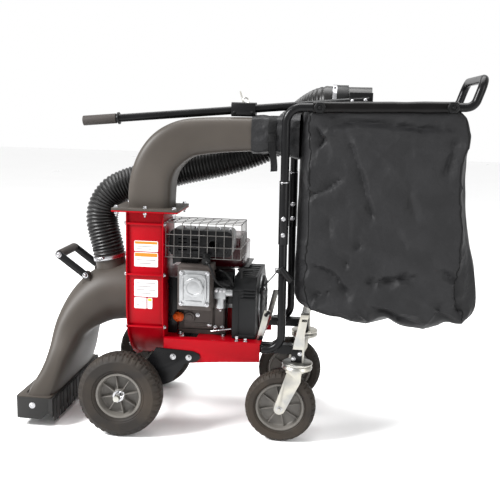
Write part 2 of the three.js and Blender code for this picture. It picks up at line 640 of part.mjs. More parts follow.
function addBag() {
  const wall = 4;
  const room = loft(bagRings(wall, 0));
  const inlet = rod(vec(500, -95, 866), vec(530, -95, 866), 40, 16);
  const rise = 0.023;
  const flaps = [];
  const tunnels = [];
  for (const [, s] of SIDES) {
    const y = s * MAST.y;
    const { x0, x1, low, high, half } = FLAP;
    const side = [[x0, low], [x1, low], [x1, high + (x1 - x0) * rise], [x0, high]];
    flaps.push(prism("y", side, y - half, y + half));
    tunnels.push(rod(vec(500, y, 1002.5 + 23 * rise), vec(970, y, 1013.4 + 19 * rise), MAST.r + 0.9, 12));
    for (const x of KNOB_XS) {
      const z = 1002.5 + (x - 477) * rise;
      tunnels.push(rod(vec(x, y + s * 5, z), vec(x, y + s * 30, z), 8, 8));
    }
  }
  const body = cut(loft(bagRings(0, 0)), room, inlet);
  add("collection_bag", cut(join(body, ...flaps), ...tunnels), "bag_fabric");
}

const SLEEVE = [
  { x: 385, z: 921, a: 55, b: 68, y: -97, run: [1, 0] },
  { x: 455, z: 921, a: 55, b: 68, y: -97, run: [1, 0] },
  { x: 516.4, z: 919, a: 60, b: 64, y: -101, run: [1, 0] },
];

function addSleeve() {
  const outer = loft(ductRings(SLEEVE, 0, 16));
  const inner = loft(ductRings(inside(SLEEVE, 3.2, [-5, 0], [5, 0]), 0, 16));
  add("bag_sleeve", cut(outer, inner), "bag_fabric");
}

// ---- engine ----
function addEngineBlock() {
  const foot = box(154, 302, -116, 110, 298.4, 312);
  const crankcase = [[-112, 311], [104, 311], [104, 420], [70, 470], [-60, 470], [-112, 430]];
  const body = prism("x", crankcase, 152, 298);
  const barrel = box(174, 262, -190, -100, 402, 524);
  const fins = Array.from({ length: 6 }, (_, i) => box(166, 268, -198 + i * 15, -193 + i * 15, 394, 530));
  const head = box(176, 264, -205, -188, 408, 521);
  const sump = box(172, 262, -124, -110, 318, 398);
  const rest = box(176, 298, -30, 96, 460, 499.6);
  const neck = rod(vec(172, -108, 348), vec(161, -126, 352), 15, 10);
  add("engine_block", join(foot, body, barrel, ...fins, head, sump, rest, neck), "engine_metal");
}

function addValveCover() {
  const plate = prism("y", roundedBox(175, 266, 411, 519, 12), -216, -205.4);
  const dome = prism("y", roundedBox(182, 259, 420, 510, 16), -228, -215);
  const boss = prism("y", circle(221, 471, 29, 8, Math.PI / 8), -234, -227);
  add("valve_cover", join(plate, dome, boss), "cast_aluminium");
}

function addMuffler() {
  const guard = prism("y", roundedBox(134, 324, 554, 632, 14), -170, -70);
  const inner = prism("y", roundedBox(136.5, 321.5, 556.5, 629.5, 12), -167.5, -72.5);
  const mouth = rod(vec(267, -172, 591), vec(267, -150, 591), 12, 14);
  const slots = [];
  for (const x of [160, 196]) {
    for (let k = 0; k < 4; k += 1) slots.push(box(x, x + 28, -175, -164, 571 + k * 11, 575 + k * 11));
  }
  const side = prism("y", [[142, 556], [142, 524], [156, 531.5], [222, 531.5], [222, 556]], -160, -90);
  add("muffler_guard", cut(join(guard, side), inner, mouth, ...slots), "black_paint");

  const r = 2;
  const [x0, x1, y0, y1, z0, z1] = [126, 354, -184, -62, 551, 656];
  const xs = Array.from({ length: 7 }, (_, i) => x0 + ((x1 - x0) * i) / 6);
  const wires = [];
  for (const x of xs) {
    wires.push(rod(vec(x, y0, z0 - 2), vec(x, y0, z1), r, 4), rod(vec(x, y0, z1), vec(x, y1, z1), r, 4));
  }
  for (const z of [z0, 603, z1]) wires.push(rod(vec(x0 - 2, y0, z), vec(x1 + 2, y0, z), r, 4));
  for (const y of [y0 + 61, y1]) wires.push(rod(vec(x0 - 2, y, z1), vec(x1 + 2, y, z1), r, 4));
  for (const z of [603]) wires.push(rod(vec(x1, y0, z), vec(x1, y1, z), r, 4));
  wires.push(rod(vec(x1, y1, z0 - 2), vec(x1, y1, z1), r, 4));
  add("muffler_cage", join(...wires), "zinc");
}

function addFuelTank() {
  const body = prism("z", roundedBox(175, 345, -40, 150, 26), 500, 566);
  const top = prism("z", roundedBox(186, 334, -29, 139, 20), 565, 590);
  const bore = rod(vec(260, 60, 570), vec(260, 60, 600), 17, 14);
  const room = prism("z", roundedBox(178, 342, -37, 147, 23), 502.5, 563);
  const upper = prism("z", roundedBox(189, 331, -26, 136, 17), 560, 587.5);
  add("fuel_tank", cut(join(body, top), room, upper, bore), "tank_paint");
  const cap = turned("z", [[0, 579], [15, 579], [15, 590.5], [26, 590.5], [26, 606], [22, 610], [0, 610]], 16, 260, 60, 0);
  add("fuel_cap", cap, "black_plastic");
}

function addBlower() {
  const outline = [[-150, 299], [150, 299], [150, 440], [110, 486], [-110, 486], [-150, 455]];
  const slots = [430, 440, 450].map((z) => box(360, 400, -152, -144, z - 2, z + 2));
  add("blower_shroud", cut(prism("x", outline, 327, 398), ...slots), "shroud_plastic");
  const cover = [[0, 398.4], [86, 398.4], [86, 406], [79, 412], [40, 415], [0, 415]];
  const hook = rod(vec(407, -68, 424), vec(411, -98, 446), 7.5, 8);
  add("recoil_starter", join(turned("x", cover, 24, 0, 0, 385), hook), "cast_aluminium");
}

function addCarburettor() {
  const bowl = turned("z", [[0, 386], [12, 386], [17, 392], [17, 424], [0, 424]], 14, 288, -140, 0);
  const body = box(270, 306, -156, -124, 422, 456);
  const throat = rod(vec(288, -140, 440), vec(326.4, -140, 440), 13, 12);
  const stub = box(276, 300, -126, -112.6, 398, 446);
  add("carburettor", join(bowl, body, throat, stub), "cast_aluminium");
}

function addControls() {
  const cap = rod(vec(160.6, -126.6, 352.2), vec(153, -139, 355), 15, 12);
  add("oil_cap", join(cap, rod(vec(156, -135, 354), vec(148, -148, 357), 9, 8)), "orange_plastic");
  const lever = prism("z", roundedBox(340, 388, -158, -142, 6), 514, 518);
  const post = rod(vec(352, -140, 486.4), vec(352, -140, 516), 7, 10);
  add("throttle_lever", join(post, prism("z", roundedBox(344, 360, -158, -132, 6), 512, 518), lever), "black_plastic");
}

const PLUG_LEAD = [
  vec(252, -206, 549), vec(262, -214, 541), vec(271, -220, 528), vec(277, -222, 512), vec(283, -220, 497),
  vec(291, -212, 484), vec(301, -200, 474), vec(311, -185, 466), vec(320, -168, 461), vec(326, -156, 458),
];

const RECOIL_ROPE = [
  vec(412.5, -106, 452), vec(422, -121, 465), vec(431, -135, 477), vec(440, -149, 489), vec(449, -163, 501),
  vec(456, -174, 511), vec(461.5, -184, 520), vec(464.2, -191, 527), vec(464.5, -197, 529), vec(464.5, -208, 529),
];

function addCordsAndGrip() {
  add("plug_lead", tube(PLUG_LEAD, 3.5, 8), "black_plastic");
  add("recoil_rope", tube(RECOIL_ROPE, 2, 8), "black_plastic");
  const grip = rod(vec(478, -225, 541), vec(509, -225, 503), 10, 12);
  const stem = rod(vec(464.5, -212.6, 529), vec(490, -225, 524), 5, 8);
  add("recoil_grip", join(grip, stem), "black_plastic");
}

addChassis();
addFrontWheels();
for (const [suffix, s] of SIDES) {
  addRearRail(suffix, s);
  addCaster(suffix, s);
}
addFrame();
addFanHousing();
addRotor();
addChute();
addNozzle();
addSkirt();
addLiftHandle();
addHose();
addWand();
addCradle();
addBag();
addSleeve();
addEngineBlock();
addValveCover();
addMuffler();
addFuelTank();
addBlower();
addCarburettor();
addControls();
addCordsAndGrip();

export default machine;
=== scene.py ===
import math

import bmesh
import bpy
from mathutils import Matrix, Quaternion, Vector, noise


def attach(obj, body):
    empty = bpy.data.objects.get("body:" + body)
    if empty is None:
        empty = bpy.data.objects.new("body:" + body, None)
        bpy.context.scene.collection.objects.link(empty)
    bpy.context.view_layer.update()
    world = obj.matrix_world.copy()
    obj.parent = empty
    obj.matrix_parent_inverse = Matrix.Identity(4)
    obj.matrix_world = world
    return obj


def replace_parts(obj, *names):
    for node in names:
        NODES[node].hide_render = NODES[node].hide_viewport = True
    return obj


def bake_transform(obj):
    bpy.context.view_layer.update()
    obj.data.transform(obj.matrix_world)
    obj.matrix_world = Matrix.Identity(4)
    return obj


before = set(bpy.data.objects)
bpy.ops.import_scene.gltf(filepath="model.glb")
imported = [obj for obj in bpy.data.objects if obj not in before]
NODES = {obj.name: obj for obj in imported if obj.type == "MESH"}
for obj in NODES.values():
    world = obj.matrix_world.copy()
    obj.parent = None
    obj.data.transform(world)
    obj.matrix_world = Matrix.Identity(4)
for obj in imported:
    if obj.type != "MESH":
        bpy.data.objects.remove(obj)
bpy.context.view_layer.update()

# ---- driving dimensions, as the CAD part gives them: millimetres, x and y from the front axle's middle ----
MIDDLE = 358  # how far the frame's origin lies behind the front axle
MAST_Y = 188
TUBE_R = 12.5
BAR_Y = -106
BAR_ENDS = ((-150, 947.5), (712, 1027.2))
FAN_Z = 390
NECK_TOP = 690
NEAR_WALL = -187
WHEELS = {
    "front": dict(x=0, y=233, radius=130, width=80, seat=71.4, rim=71, bore=10.2, lugs=36),
    "caster": dict(x=486, y=186, radius=108, width=60, seat=74.4, rim=74, bore=6.8, lugs=34),
}
HUB_R = 19
# metres from here, as Blender takes them
HOSE_PITCH = 0.0105
HOSE_END = 0.012
DUCT_WALL = 0.004
FINE_EDGE = 0.0003
SHARP_ANGLE = math.radians(38)
SMOOTH_ANGLE = math.radians(32)
CAMERA_SPOT = (0.3105, -2.5619, 1.0102)
CAMERA_TURN = [math.radians(degrees) for degrees in (6.89, 10.105, 1.40)]
CAMERA_LENS = 59.04
SIDES = (("left", 1), ("right", -1))
X_AXIS = Vector((1, 0, 0))
Y_AXIS = Vector((0, 1, 0))
Z_AXIS = Vector((0, 0, 1))


def at(x, y, z):
    """A point in millimetres from the front axle, in the frame's metres."""
    return Vector(((x - MIDDLE) / 1000, y / 1000, z / 1000))


# ---------------------------------------------------------------- materials

def clouds(tree, place, scale, detail, roughness=0.5):
    """Noise in object space, as a value."""
    made = tree.nodes.new("ShaderNodeTexNoise")
    for socket, value in (("Scale", scale), ("Detail", detail), ("Roughness", roughness)):
        made.inputs[socket].default_value = value
    tree.links.new(place, made.inputs["Vector"])
    return made.outputs["Fac"]


def relief(tree, height, strength, distance, under=None):
    """A bump from a height, on top of the bump under it if there is one."""
    bump = tree.nodes.new("ShaderNodeBump")
    bump.inputs["Strength"].default_value = strength
    bump.inputs["Distance"].default_value = distance
    tree.links.new(height, bump.inputs["Height"])
    if under:
        tree.links.new(under, bump.inputs["Normal"])
    return bump.outputs["Normal"]


def surface(name, color, rough, metal=0.0, mottle=0.1, mottle_scale=9.0, grain=0.0, grain_scale=600.0,
            swing=0.06, coat=0.0, tint=None, shine=0.3):
    """A Principled material whose colour, roughness and fine relief vary with noise in object space."""
    made = bpy.data.materials.new(name)
    made.use_nodes = True
    tree = made.node_tree
    shader = tree.nodes["Principled BSDF"]
    plain = {"Metallic": metal, "Specular IOR Level": shine, "Coat Weight": coat, "Coat Roughness": 0.12}
    for socket, value in plain.items():
        shader.inputs[socket].default_value = value
    place = tree.nodes.new("ShaderNodeTexCoord").outputs["Object"]
    cloud = clouds(tree, place, mottle_scale, 6.0)
    ramp = tree.nodes.new("ShaderNodeValToRGB")
    dark, light = ramp.color_ramp.elements
    dark.position = 0.36
    dark.color = (*(c * (1 - mottle) for c in color), 1)
    light.position = 0.64
    light.color = (*(min(1.0, c * (1 + mottle)) for c in (tint or color)), 1)
    tree.links.new(cloud, ramp.inputs["Fac"])
    tree.links.new(ramp.outputs["Color"], shader.inputs["Base Color"])
    spread = tree.nodes.new("ShaderNodeMapRange")
    spread.inputs["To Min"].default_value = max(0.03, rough - swing)
    spread.inputs["To Max"].default_value = min(1.0, rough + swing)
    tree.links.new(cloud, spread.inputs["Value"])
    tree.links.new(spread.outputs["Result"], shader.inputs["Roughness"])
    if grain:
        normal = relief(tree, clouds(tree, place, grain_scale, 3.0), 0.6, grain)
        tree.links.new(normal, shader.inputs["Normal"])
    return made


def woven(name, color, rough, pitch, depth):
    """Coated woven cloth: crossing threads as relief over a softer crumple."""
    made = surface(name, color, rough, mottle=0.12, mottle_scale=14.0, swing=0.05, shine=0.1)
    tree = made.node_tree
    place = next(n for n in tree.nodes if n.bl_idname == "ShaderNodeTexCoord").outputs["Object"]
    crossed = tree.nodes.new("ShaderNodeMath")
    crossed.operation = "MULTIPLY"
    for i, direction in enumerate(("DIAGONAL", "Z")):
        threads = tree.nodes.new("ShaderNodeTexWave")
        threads.wave_type = "BANDS"
        threads.bands_direction = direction
        threads.inputs["Scale"].default_value = 0.314 / pitch
        threads.inputs["Distortion"].default_value = 0.4
        tree.links.new(place, threads.inputs["Vector"])
        tree.links.new(threads.outputs["Fac"], crossed.inputs[i])
    crumple = relief(tree, clouds(tree, place, 17.0, 5.0, 0.55), 0.7, 0.012)
    weave = relief(tree, crossed.outputs["Value"], 0.35, depth, crumple)
    tree.links.new(weave, tree.nodes["Principled BSDF"].inputs["Normal"])
    return made


# The lights are strong, so the colours are darker than they look.
FINISHES = {
    # name: colour, roughness, and what differs from surface()'s usual
    "red_paint": ((0.2, 0.0004, 0.0035), 0.3,
        dict(mottle=0.06, grain=0.00006, grain_scale=260, swing=0.05, shine=0.07)),
    "black_paint": ((0.0035, 0.0035, 0.0038), 0.28,
        dict(mottle=0.2, grain=0.00005, grain_scale=300, shine=0.12)),
    "zinc": ((0.29, 0.29, 0.28), 0.36,
        dict(metal=1.0, mottle=0.1, mottle_scale=22, swing=0.08, tint=(0.36, 0.345, 0.3), grain=0.00005)),
    "steel": ((0.31, 0.31, 0.32), 0.28, dict(metal=1.0, mottle=0.08, mottle_scale=30, swing=0.08)),
    "dark_wire": ((0.12, 0.115, 0.11), 0.34, dict(metal=1.0, mottle=0.2, mottle_scale=40)),
    "duct_plastic": ((0.027, 0.0225, 0.0185), 0.5,
        dict(mottle=0.08, mottle_scale=5, grain=0.00022, grain_scale=700, tint=(0.031, 0.026, 0.0215),
             shine=0.22)),
    "hose_plastic": ((0.0055, 0.0053, 0.0052), 0.36,
        dict(mottle=0.18, grain=0.00012, grain_scale=500, shine=0.2)),
    "black_plastic": ((0.004, 0.004, 0.0042), 0.42,
        dict(mottle=0.18, grain=0.00012, grain_scale=700, shine=0.12)),
    "shroud_plastic": ((0.0085, 0.0088, 0.0092), 0.46,
        dict(mottle=0.1, grain=0.0002, grain_scale=800, shine=0.12)),
    "grip_rubber": ((0.022, 0.0185, 0.0165), 0.7,
        dict(mottle=0.14, grain=0.0003, grain_scale=500, shine=0.2)),
    "skirt_rubber": ((0.009, 0.0088, 0.0085), 0.6,
        dict(mottle=0.15, mottle_scale=7, grain=0.0003, grain_scale=400, shine=0.2)),
    "tyre": ((0.011, 0.0088, 0.0072), 0.7,
        dict(mottle=0.22, mottle_scale=12, grain=0.0003, grain_scale=420, tint=(0.0175, 0.0132, 0.0095),
             shine=0.22)),
    "rim_plastic": ((0.085, 0.079, 0.071), 0.5,
        dict(mottle=0.08, mottle_scale=16, grain=0.0001, grain_scale=600, shine=0.3)),
    "engine_metal": ((0.036, 0.029, 0.026), 0.48,
        dict(metal=0.25, mottle=0.2, mottle_scale=25, grain=0.0004, grain_scale=300)),
    "cast_aluminium": ((0.27, 0.275, 0.28), 0.4,
        dict(metal=0.95, mottle=0.14, mottle_scale=30, grain=0.0003, grain_scale=420)),
    "tank_paint": ((0.03, 0.0012, 0.0028), 0.26, dict(mottle=0.1, coat=0.2, shine=0.25)),
    "flap_coated": ((0.0022, 0.0019, 0.0019), 0.3,
        dict(mottle=0.2, mottle_scale=20, grain=0.0004, grain_scale=120, shine=0.1)),
    "orange_plastic": ((0.36, 0.05, 0.005), 0.42, dict(mottle=0.08, grain=0.0001)),
    "label_white": ((0.46, 0.45, 0.45), 0.4, dict(mottle=0.03, shine=0.2)),
    "label_orange": ((0.42, 0.12, 0.008), 0.4, dict(mottle=0.05, shine=0.2)),
    "label_yellow": ((0.42, 0.33, 0.02), 0.4, dict(mottle=0.05, shine=0.2)),
    "label_grey": ((0.14, 0.13, 0.13), 0.4, dict(mottle=0.1, shine=0.2)),
    "pale_floor": ((0.9, 0.9, 0.9), 0.3, dict(mottle=0.01, mottle_scale=2, shine=0.4)),
}


def make_surfaces():
    """Every finish, by name."""
    made = {name: surface(name, color, rough, **rest) for name, (color, rough, rest) in FINISHES.items()}
    made["bag_fabric"] = woven("bag_fabric", (0.0118, 0.0118, 0.0124), 0.5, 0.0012, 0.00025)
    made["strap_web"] = woven("strap_web", (0.0032, 0.0032, 0.0034), 0.62, 0.0022, 0.0005)
    return made


# ---------------------------------------------------------------- mesh helpers

def link(piece):
    bpy.context.scene.collection.objects.link(piece)
    return piece


def smooth_group():
    """Smooth shading wherever two faces meet at less than SMOOTH_ANGLE."""
    tree = bpy.data.node_groups.new("smooth_by_angle", "GeometryNodeTree")
    tree.interface.new_socket("Geometry", in_out="INPUT", socket_type="NodeSocketGeometry")
    tree.interface.new_socket("Geometry", in_out="OUTPUT", socket_type="NodeSocketGeometry")
    start = tree.nodes.new("NodeGroupInput")
    end = tree.nodes.new("NodeGroupOutput")
    angle = tree.nodes.new("GeometryNodeInputMeshEdgeAngle")
    under = tree.nodes.new("FunctionNodeCompare")
    under.data_type = "FLOAT"
    under.operation = "LESS_THAN"
    under.inputs[1].default_value = SMOOTH_ANGLE
    faces = tree.nodes.new("GeometryNodeSetShadeSmooth")
    edges = tree.nodes.new("GeometryNodeSetShadeSmooth")
    edges.domain = "EDGE"
    tree.links.new(start.outputs[0], faces.inputs["Geometry"])
    tree.links.new(faces.outputs[0], edges.inputs["Geometry"])
    tree.links.new(angle.outputs["Unsigned Angle"], under.inputs[0])
    tree.links.new(under.outputs[0], edges.inputs["Shade Smooth"])
    tree.links.new(edges.outputs[0], end.inputs[0])
    return tree


def soften(piece, width=0.0008, segments=2, weld=False):
    """Rounds a hard piece's edges by width and smooths its curved faces."""
    if weld:
        welded = piece.modifiers.new("weld", "WELD")
        welded.merge_threshold = 0.00002
    if width:
        bevel = piece.modifiers.new("edges", "BEVEL")
        bevel.width = width
        bevel.segments = segments
        bevel.limit_method = "ANGLE"
        bevel.angle_limit = SHARP_ANGLE
        bevel.use_clamp_overlap = True
    shade = piece.modifiers.new("shading", "NODES")
    shade.node_group = SMOOTH
    return piece


def piece_from(name, verts, faces, finish, body="root", width=0.0, thick=0.0):
    """A piece from vertices and faces. thick makes a sheet solid; body is None for a piece that blends."""
    mesh = bpy.data.meshes.new(name)
    mesh.from_pydata([tuple(v) for v in verts], [], faces)
    shop = bmesh.new()
    shop.from_mesh(mesh)
    bmesh.ops.recalc_face_normals(shop, faces=shop.faces)
    shop.to_mesh(mesh)
    shop.free()
    mesh.materials.append(SURFACES[finish])
    piece = link(bpy.data.objects.new(name, mesh))
    if thick:
        solid = piece.modifiers.new("thickness", "SOLIDIFY")
        solid.thickness = thick
        solid.offset = -1
    soften(piece, width)
    if body:
        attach(piece, body)
    return piece


def skin(rings, wrap=False):
    """Faces through rings of equally many points; wrap joins the last ring to the first."""
    n = len(rings[0])
    verts = [p for ring in rings for p in ring]
    count = len(rings) if wrap else len(rings) - 1
    faces = []
    for i in range(count):
        j = (i + 1) % len(rings)
        for k in range(n):
            m = (k + 1) % n
            faces.append((i * n + k, i * n + m, j * n + m, j * n + k))
    return verts, faces


def turns(count):
    """Angles at even spacing round a circle."""
    return [2 * math.pi * k / count for k in range(count)]


def round_y(x, y, z, r, a):
    """The point at angle a on a circle of radius r about the Y direction."""
    return at(x + r * math.cos(a), y, z + r * math.sin(a))


def wobble(x, y, z):
    return noise.noise(Vector((x, y, z)))


def tube_rings(points, radius, sides):
    """Rings round a path with the least twist. The radius is one number, or one for each point."""
    rings = []
    normal = None
    for i, p in enumerate(points):
        tangent = (points[min(i + 1, len(points) - 1)] - points[max(i - 1, 0)]).normalized()
        if normal is None:
            normal = tangent.orthogonal().normalized()
        else:
            normal = (normal - tangent * normal.dot(tangent)).normalized()
        other = tangent.cross(normal)
        r = radius[i] if isinstance(radius, (list, tuple)) else radius
        rings.append([
            p + (normal * math.cos(a) + other * math.sin(a)) * r
            for a in turns(sides)
        ])
    return rings


def spline(a, b, c, d, t):
    """The Catmull-Rom curve from b to c, for numbers or vectors."""
    return 0.5 * ((2 * b) + (c - a) * t + (2 * a - 5 * b + 4 * c - d) * t * t
                  + (3 * b - a - 3 * c + d) * t * t * t)


def smooth_path(points, per_span=8):
    """A smooth curve through the points."""
    padded = [points[0] * 2 - points[1], *points, points[-1] * 2 - points[-2]]
    made = []
    for i in range(len(points) - 1):
        made += [spline(*padded[i:i + 4], k / per_span) for k in range(per_span)]
    made.append(points[-1])
    return made


def path_length(points):
    return sum((b - a).length for a, b in zip(points, points[1:]))


def spaced(points, count, closed=False):
    """Points at even spacing along a path. A closed path ends where it starts, and that end is left out."""
    lengths = [0.0]
    for a, b in zip(points, points[1:]):
        lengths.append(lengths[-1] + (b - a).length)
    made = []
    j = 0
    for k in range(count if closed else count + 1):
        want = lengths[-1] * k / count
        while j < len(points) - 2 and lengths[j + 1] < want:
            j += 1
        share = (want - lengths[j]) / max(1e-9, lengths[j + 1] - lengths[j])
        made.append(points[j].lerp(points[j + 1], min(1.0, share)))
    return made


def even_path(points, step):
    """The same path walked in steps of nearly the given length."""
    return spaced(points, max(2, round(path_length(points) / step)))


def bent(corners, radii, steps=10):
    """Corner points with each inner corner turned into a bend of its own radius, in metres."""
    path = [corners[0]]
    for i in range(1, len(corners) - 1):
        back = (corners[i - 1] - corners[i]).normalized()
        on = (corners[i + 1] - corners[i]).normalized()
        half = back.angle(on) / 2
        r = radii[i - 1]
        centre = corners[i] + (back + on).normalized() * (r / math.sin(half))
        a = corners[i] + back * (r / math.tan(half)) - centre
        b = corners[i] + on * (r / math.tan(half)) - centre
        for k in range(steps + 1):
            path.append(centre + a.normalized().slerp(b.normalized(), k / steps) * r)
    path.append(corners[-1])
    return path


def pipe(name, points, radius, finish, sides=28):
    """A round bar along a path, with closed ends."""
    verts, faces = skin(tube_rings(points, radius, sides))
    faces.append(tuple(range(sides)))
    faces.append(tuple(range(len(verts) - sides, len(verts))))
    return piece_from(name, verts, faces, finish, width=0.0008)


class Kit:
    """Gathers small solids into one piece."""

    def __init__(self):
        self.shop = bmesh.new()

    def box(self, x0, x1, y0, y1, z0, z1, turn=None):
        low, high = at(x0, y0, z0), at(x1, y1, z1)
        place = Matrix.Translation((low + high) / 2)
        if turn:
            place = place @ turn
        size = high - low
        bmesh.ops.create_cube(self.shop, size=1, matrix=place @ Matrix.Diagonal((*size, 1)))
        return self

    def rod(self, a, b, r, sides=28, r2=None):
        """A round or polygonal bar between two points, with radii in millimetres."""
        run = b - a
        place = Matrix.Translation((a + b) / 2) @ run.to_track_quat("Z", "Y").to_matrix().to_4x4()
        bmesh.ops.create_cone(self.shop, cap_ends=True, segments=sides, radius1=r / 1000,
                              radius2=(r if r2 is None else r2) / 1000, depth=run.length, matrix=place)
        return self

    def ring(self, centre, axis, inner, outer, half, sides=40):
        """A flat-sided ring, with sizes in millimetres."""
        turn = axis.to_track_quat("Z", "Y").to_matrix().to_4x4()
        place = Matrix.Translation(centre) @ turn
        profile = [(inner, -half), (outer, -half), (outer, half), (inner, half)]
        loops = []
        for a in turns(sides):
            spots = [Vector((r * math.cos(a), r * math.sin(a), h)) / 1000 for r, h in profile]
            loops.append([self.shop.verts.new(place @ spot) for spot in spots])
        for k in range(sides):
            one, two = loops[k], loops[(k + 1) % sides]
            for i in range(4):
                j = (i + 1) % 4
                self.shop.faces.new((one[i], one[j], two[j], two[i]))
        return self

    def plate(self, outline, axis, low, high):
        """A flat plate: (x, z) pairs along Y, (y, z) pairs along X or (x, y) pairs along Z."""
        spot = {
            "x": lambda u, v, w: at(w, u, v),
            "y": lambda u, v, w: at(u, w, v),
            "z": lambda u, v, w: at(u, v, w),
        }[axis]
        front = [self.shop.verts.new(spot(u, v, low)) for u, v in outline]
        back = [self.shop.verts.new(spot(u, v, high)) for u, v in outline]
        self.shop.faces.new(front)
        self.shop.faces.new(list(reversed(back)))
        for i in range(len(outline)):
            j = (i + 1) % len(outline)
            self.shop.faces.new((front[i], front[j], back[j], back[i]))
        return self

    def bolt(self, spot, axis, across, head, washer=True):
        """A hexagon bolt head, by default on a washer, standing out of spot along axis."""
        if washer:
            base = spot + axis * 0.0014
            self.rod(spot, base, across * 0.85, 24)
        else:
            base = spot
        top = base + axis * (head / 1000)
        self.rod(base, top, across * 0.577, 6)
        self.rod(top, top + axis * 0.0006, across * 0.42, 20, r2=across * 0.3)

    def screw(self, spot, axis, r, rise):
        """A domed screw head."""
        axis = axis.normalized()
        half, top = (spot + axis * (rise * share) for share in (0.0005, 0.001))
        self.rod(spot, half, r, 24, r2=r * 0.9)
        self.rod(half, top, r * 0.9, 24, r2=r * 0.55)

    def rib(self, near, far, across, up, low, high_near, high_far):
        """A rib from near to far that rises along up from low; its foot is left open."""
        corners = []
        for spot, high in ((near, high_near), (far, high_far)):
            for side in (-across, across):
                for level in (low, high):
                    corners.append(self.shop.verts.new(spot + side + up * level))
        a0, a1, b0, b1, c0, c1, d0, d1 = corners
        ends = ((a0, a1, b1, b0), (c0, d0, d1, c1))
        sides = ((a1, c1, d1, b1), (a0, c0, c1, a1), (b0, b1, d1, d0))
        for quad in (*ends, *sides):
            self.shop.faces.new(quad)

    def done(self, name, finish, width=0.0006, segments=2, body="root"):
        """Turns what was gathered into a piece."""
        bmesh.ops.recalc_face_normals(self.shop, faces=self.shop.faces)
        mesh = bpy.data.meshes.new(name)
        self.shop.to_mesh(mesh)
        self.shop.free()
        mesh.materials.append(SURFACES[finish])
        piece = link(bpy.data.objects.new(name, mesh))
        soften(piece, width, segments)
        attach(piece, body)
        return piece


def bolt_group(name, axis, spots, across, head, finish="steel", body="root", washer=True):
    """One piece of equal bolt heads that all stand out along one axis."""
    kit = Kit()
    for spot in spots:
        kit.bolt(spot, axis, across, head, washer)
    return kit.done(name, finish, FINE_EDGE, body=body)


# ---------------------------------------------------------------- camera, light, floor

def add_camera():
    """The fixed view, turned by yaw, tipped down by pitch and rolled by roll."""
    data = bpy.data.cameras.new("camera")
    data.sensor_width = 36.0
    data.lens = CAMERA_LENS
    camera = link(bpy.data.objects.new("camera", data))
    yaw, pitch, roll = CAMERA_TURN
    ahead = Vector((-math.sin(yaw) * math.cos(pitch), math.cos(yaw) * math.cos(pitch), -math.sin(pitch)))
    camera.location = CAMERA_SPOT
    camera.rotation_mode = "QUATERNION"
    camera.rotation_quaternion = ahead.to_track_quat("-Z", "Y") @ Quaternion((0, 0, 1), roll)
    bpy.context.scene.camera = camera


def area_light(name, spot, aim, size, watts):
    data = bpy.data.lights.new(name, "AREA")
    data.shape = "RECTANGLE"
    data.size, data.size_y = size
    data.energy = watts
    lamp = link(bpy.data.objects.new(name, data))
    lamp.location = spot
    lamp.rotation_mode = "QUATERNION"
    lamp.rotation_quaternion = (Vector(aim) - Vector(spot)).to_track_quat("-Z", "Y")


def add_studio():
    """A white room with a strong light high on the left, weaker ones to the right and above, and a floor."""
    world = bpy.data.worlds.new("studio")
    bpy.context.scene.world = world
    world.use_nodes = True
    sky = world.node_tree.nodes["Background"]
    sky.inputs["Color"].default_value = (1.0, 1.0, 1.0, 1)
    sky.inputs["Strength"].default_value = 1.0
    area_light("key", (-2.6, -1.7, 2.5), (0, 0, 0.5), (1.1, 1.1), 330)
    area_light("fill", (2.6, -2.2, 1.5), (0.1, 0, 0.5), (1.6, 2.2), 60)
    area_light("top", (0.1, 0.4, 3.2), (0, 0, 0.4), (2.6, 2.0), 150)
    bpy.context.scene.view_settings.view_transform = "Standard"
    shop = bmesh.new()
    bmesh.ops.create_grid(shop, x_segments=2, y_segments=2, size=14)
    mesh = bpy.data.meshes.new("floor")
    shop.to_mesh(mesh)
    shop.free()
    mesh.materials.append(SURFACES["pale_floor"])
    floor = link(bpy.data.objects.new("floor", mesh))
    floor.location.z = -0.0005


# ---------------------------------------------------------------- hose, plug lead and recoil rope

HOSE_ROUTE = [
    (-108.5, 0, 545), (-119, 0, 585), (-127, 2, 625), (-125, 6, 662), (-112, 12, 694), (-88, 18, 722),
    (-52, 24, 742), (0, 30, 760), (62, 36, 779), (124, 41, 798), (204, 44, 817), (284, 46, 838),
    (340, 47, 857), (392, 46, 880), (440, 43, 911), (478, 34, 944), (512, 19, 975), (543, -8, 998),
    (568, -28, 1011), (589, -38, 1017), (603.6, -38, 1017),
]
PLUG_LEAD = [
    (252, -206, 549), (262, -214, 541), (271, -220, 528), (277, -222, 512), (283, -220, 497),
    (291, -212, 484), (301, -200, 474), (311, -185, 466), (320, -168, 461), (326, -156, 458),
]
RECOIL_ROPE = [
    (412.5, -106, 452), (422, -121, 465), (431, -135, 477), (440, -149, 489), (449, -163, 501),
    (456, -174, 511), (461.5, -184, 520), (464.2, -191, 527), (464.5, -197, 529), (464.5, -208, 529),
]


def add_hose():
    """Corrugated hose: round ribs on a thin wall, with plain cuffs where it is pushed on."""
    start = [at(-100.7, 0, 503), at(-103.2, 0, 516), at(-106, 0, 531)]
    route = smooth_path([*start, *(at(*p) for p in HOSE_ROUTE)], 8)
    walk = even_path(route, HOSE_PITCH / 6)
    total = path_length(walk)
    radii = []
    for i in range(len(walk)):
        along = total * i / (len(walk) - 1)
        wave = 0.5 + 0.5 * math.cos(2 * math.pi * along / HOSE_PITCH)
        rib = 0.0478 + 0.0042 * wave ** 0.7
        plain = max(0.0, 1 - min(along, total - along) / HOSE_END)
        blend = min(1.0, plain * 4)
        radii.append(rib * (1 - blend) + 0.0508 * blend)
    verts, faces = skin(tube_rings(walk, radii, 44))
    hose = piece_from("corrugated_hose", verts, faces, "hose_plastic", None)
    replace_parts(hose, "suction_hose")
    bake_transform(hose)


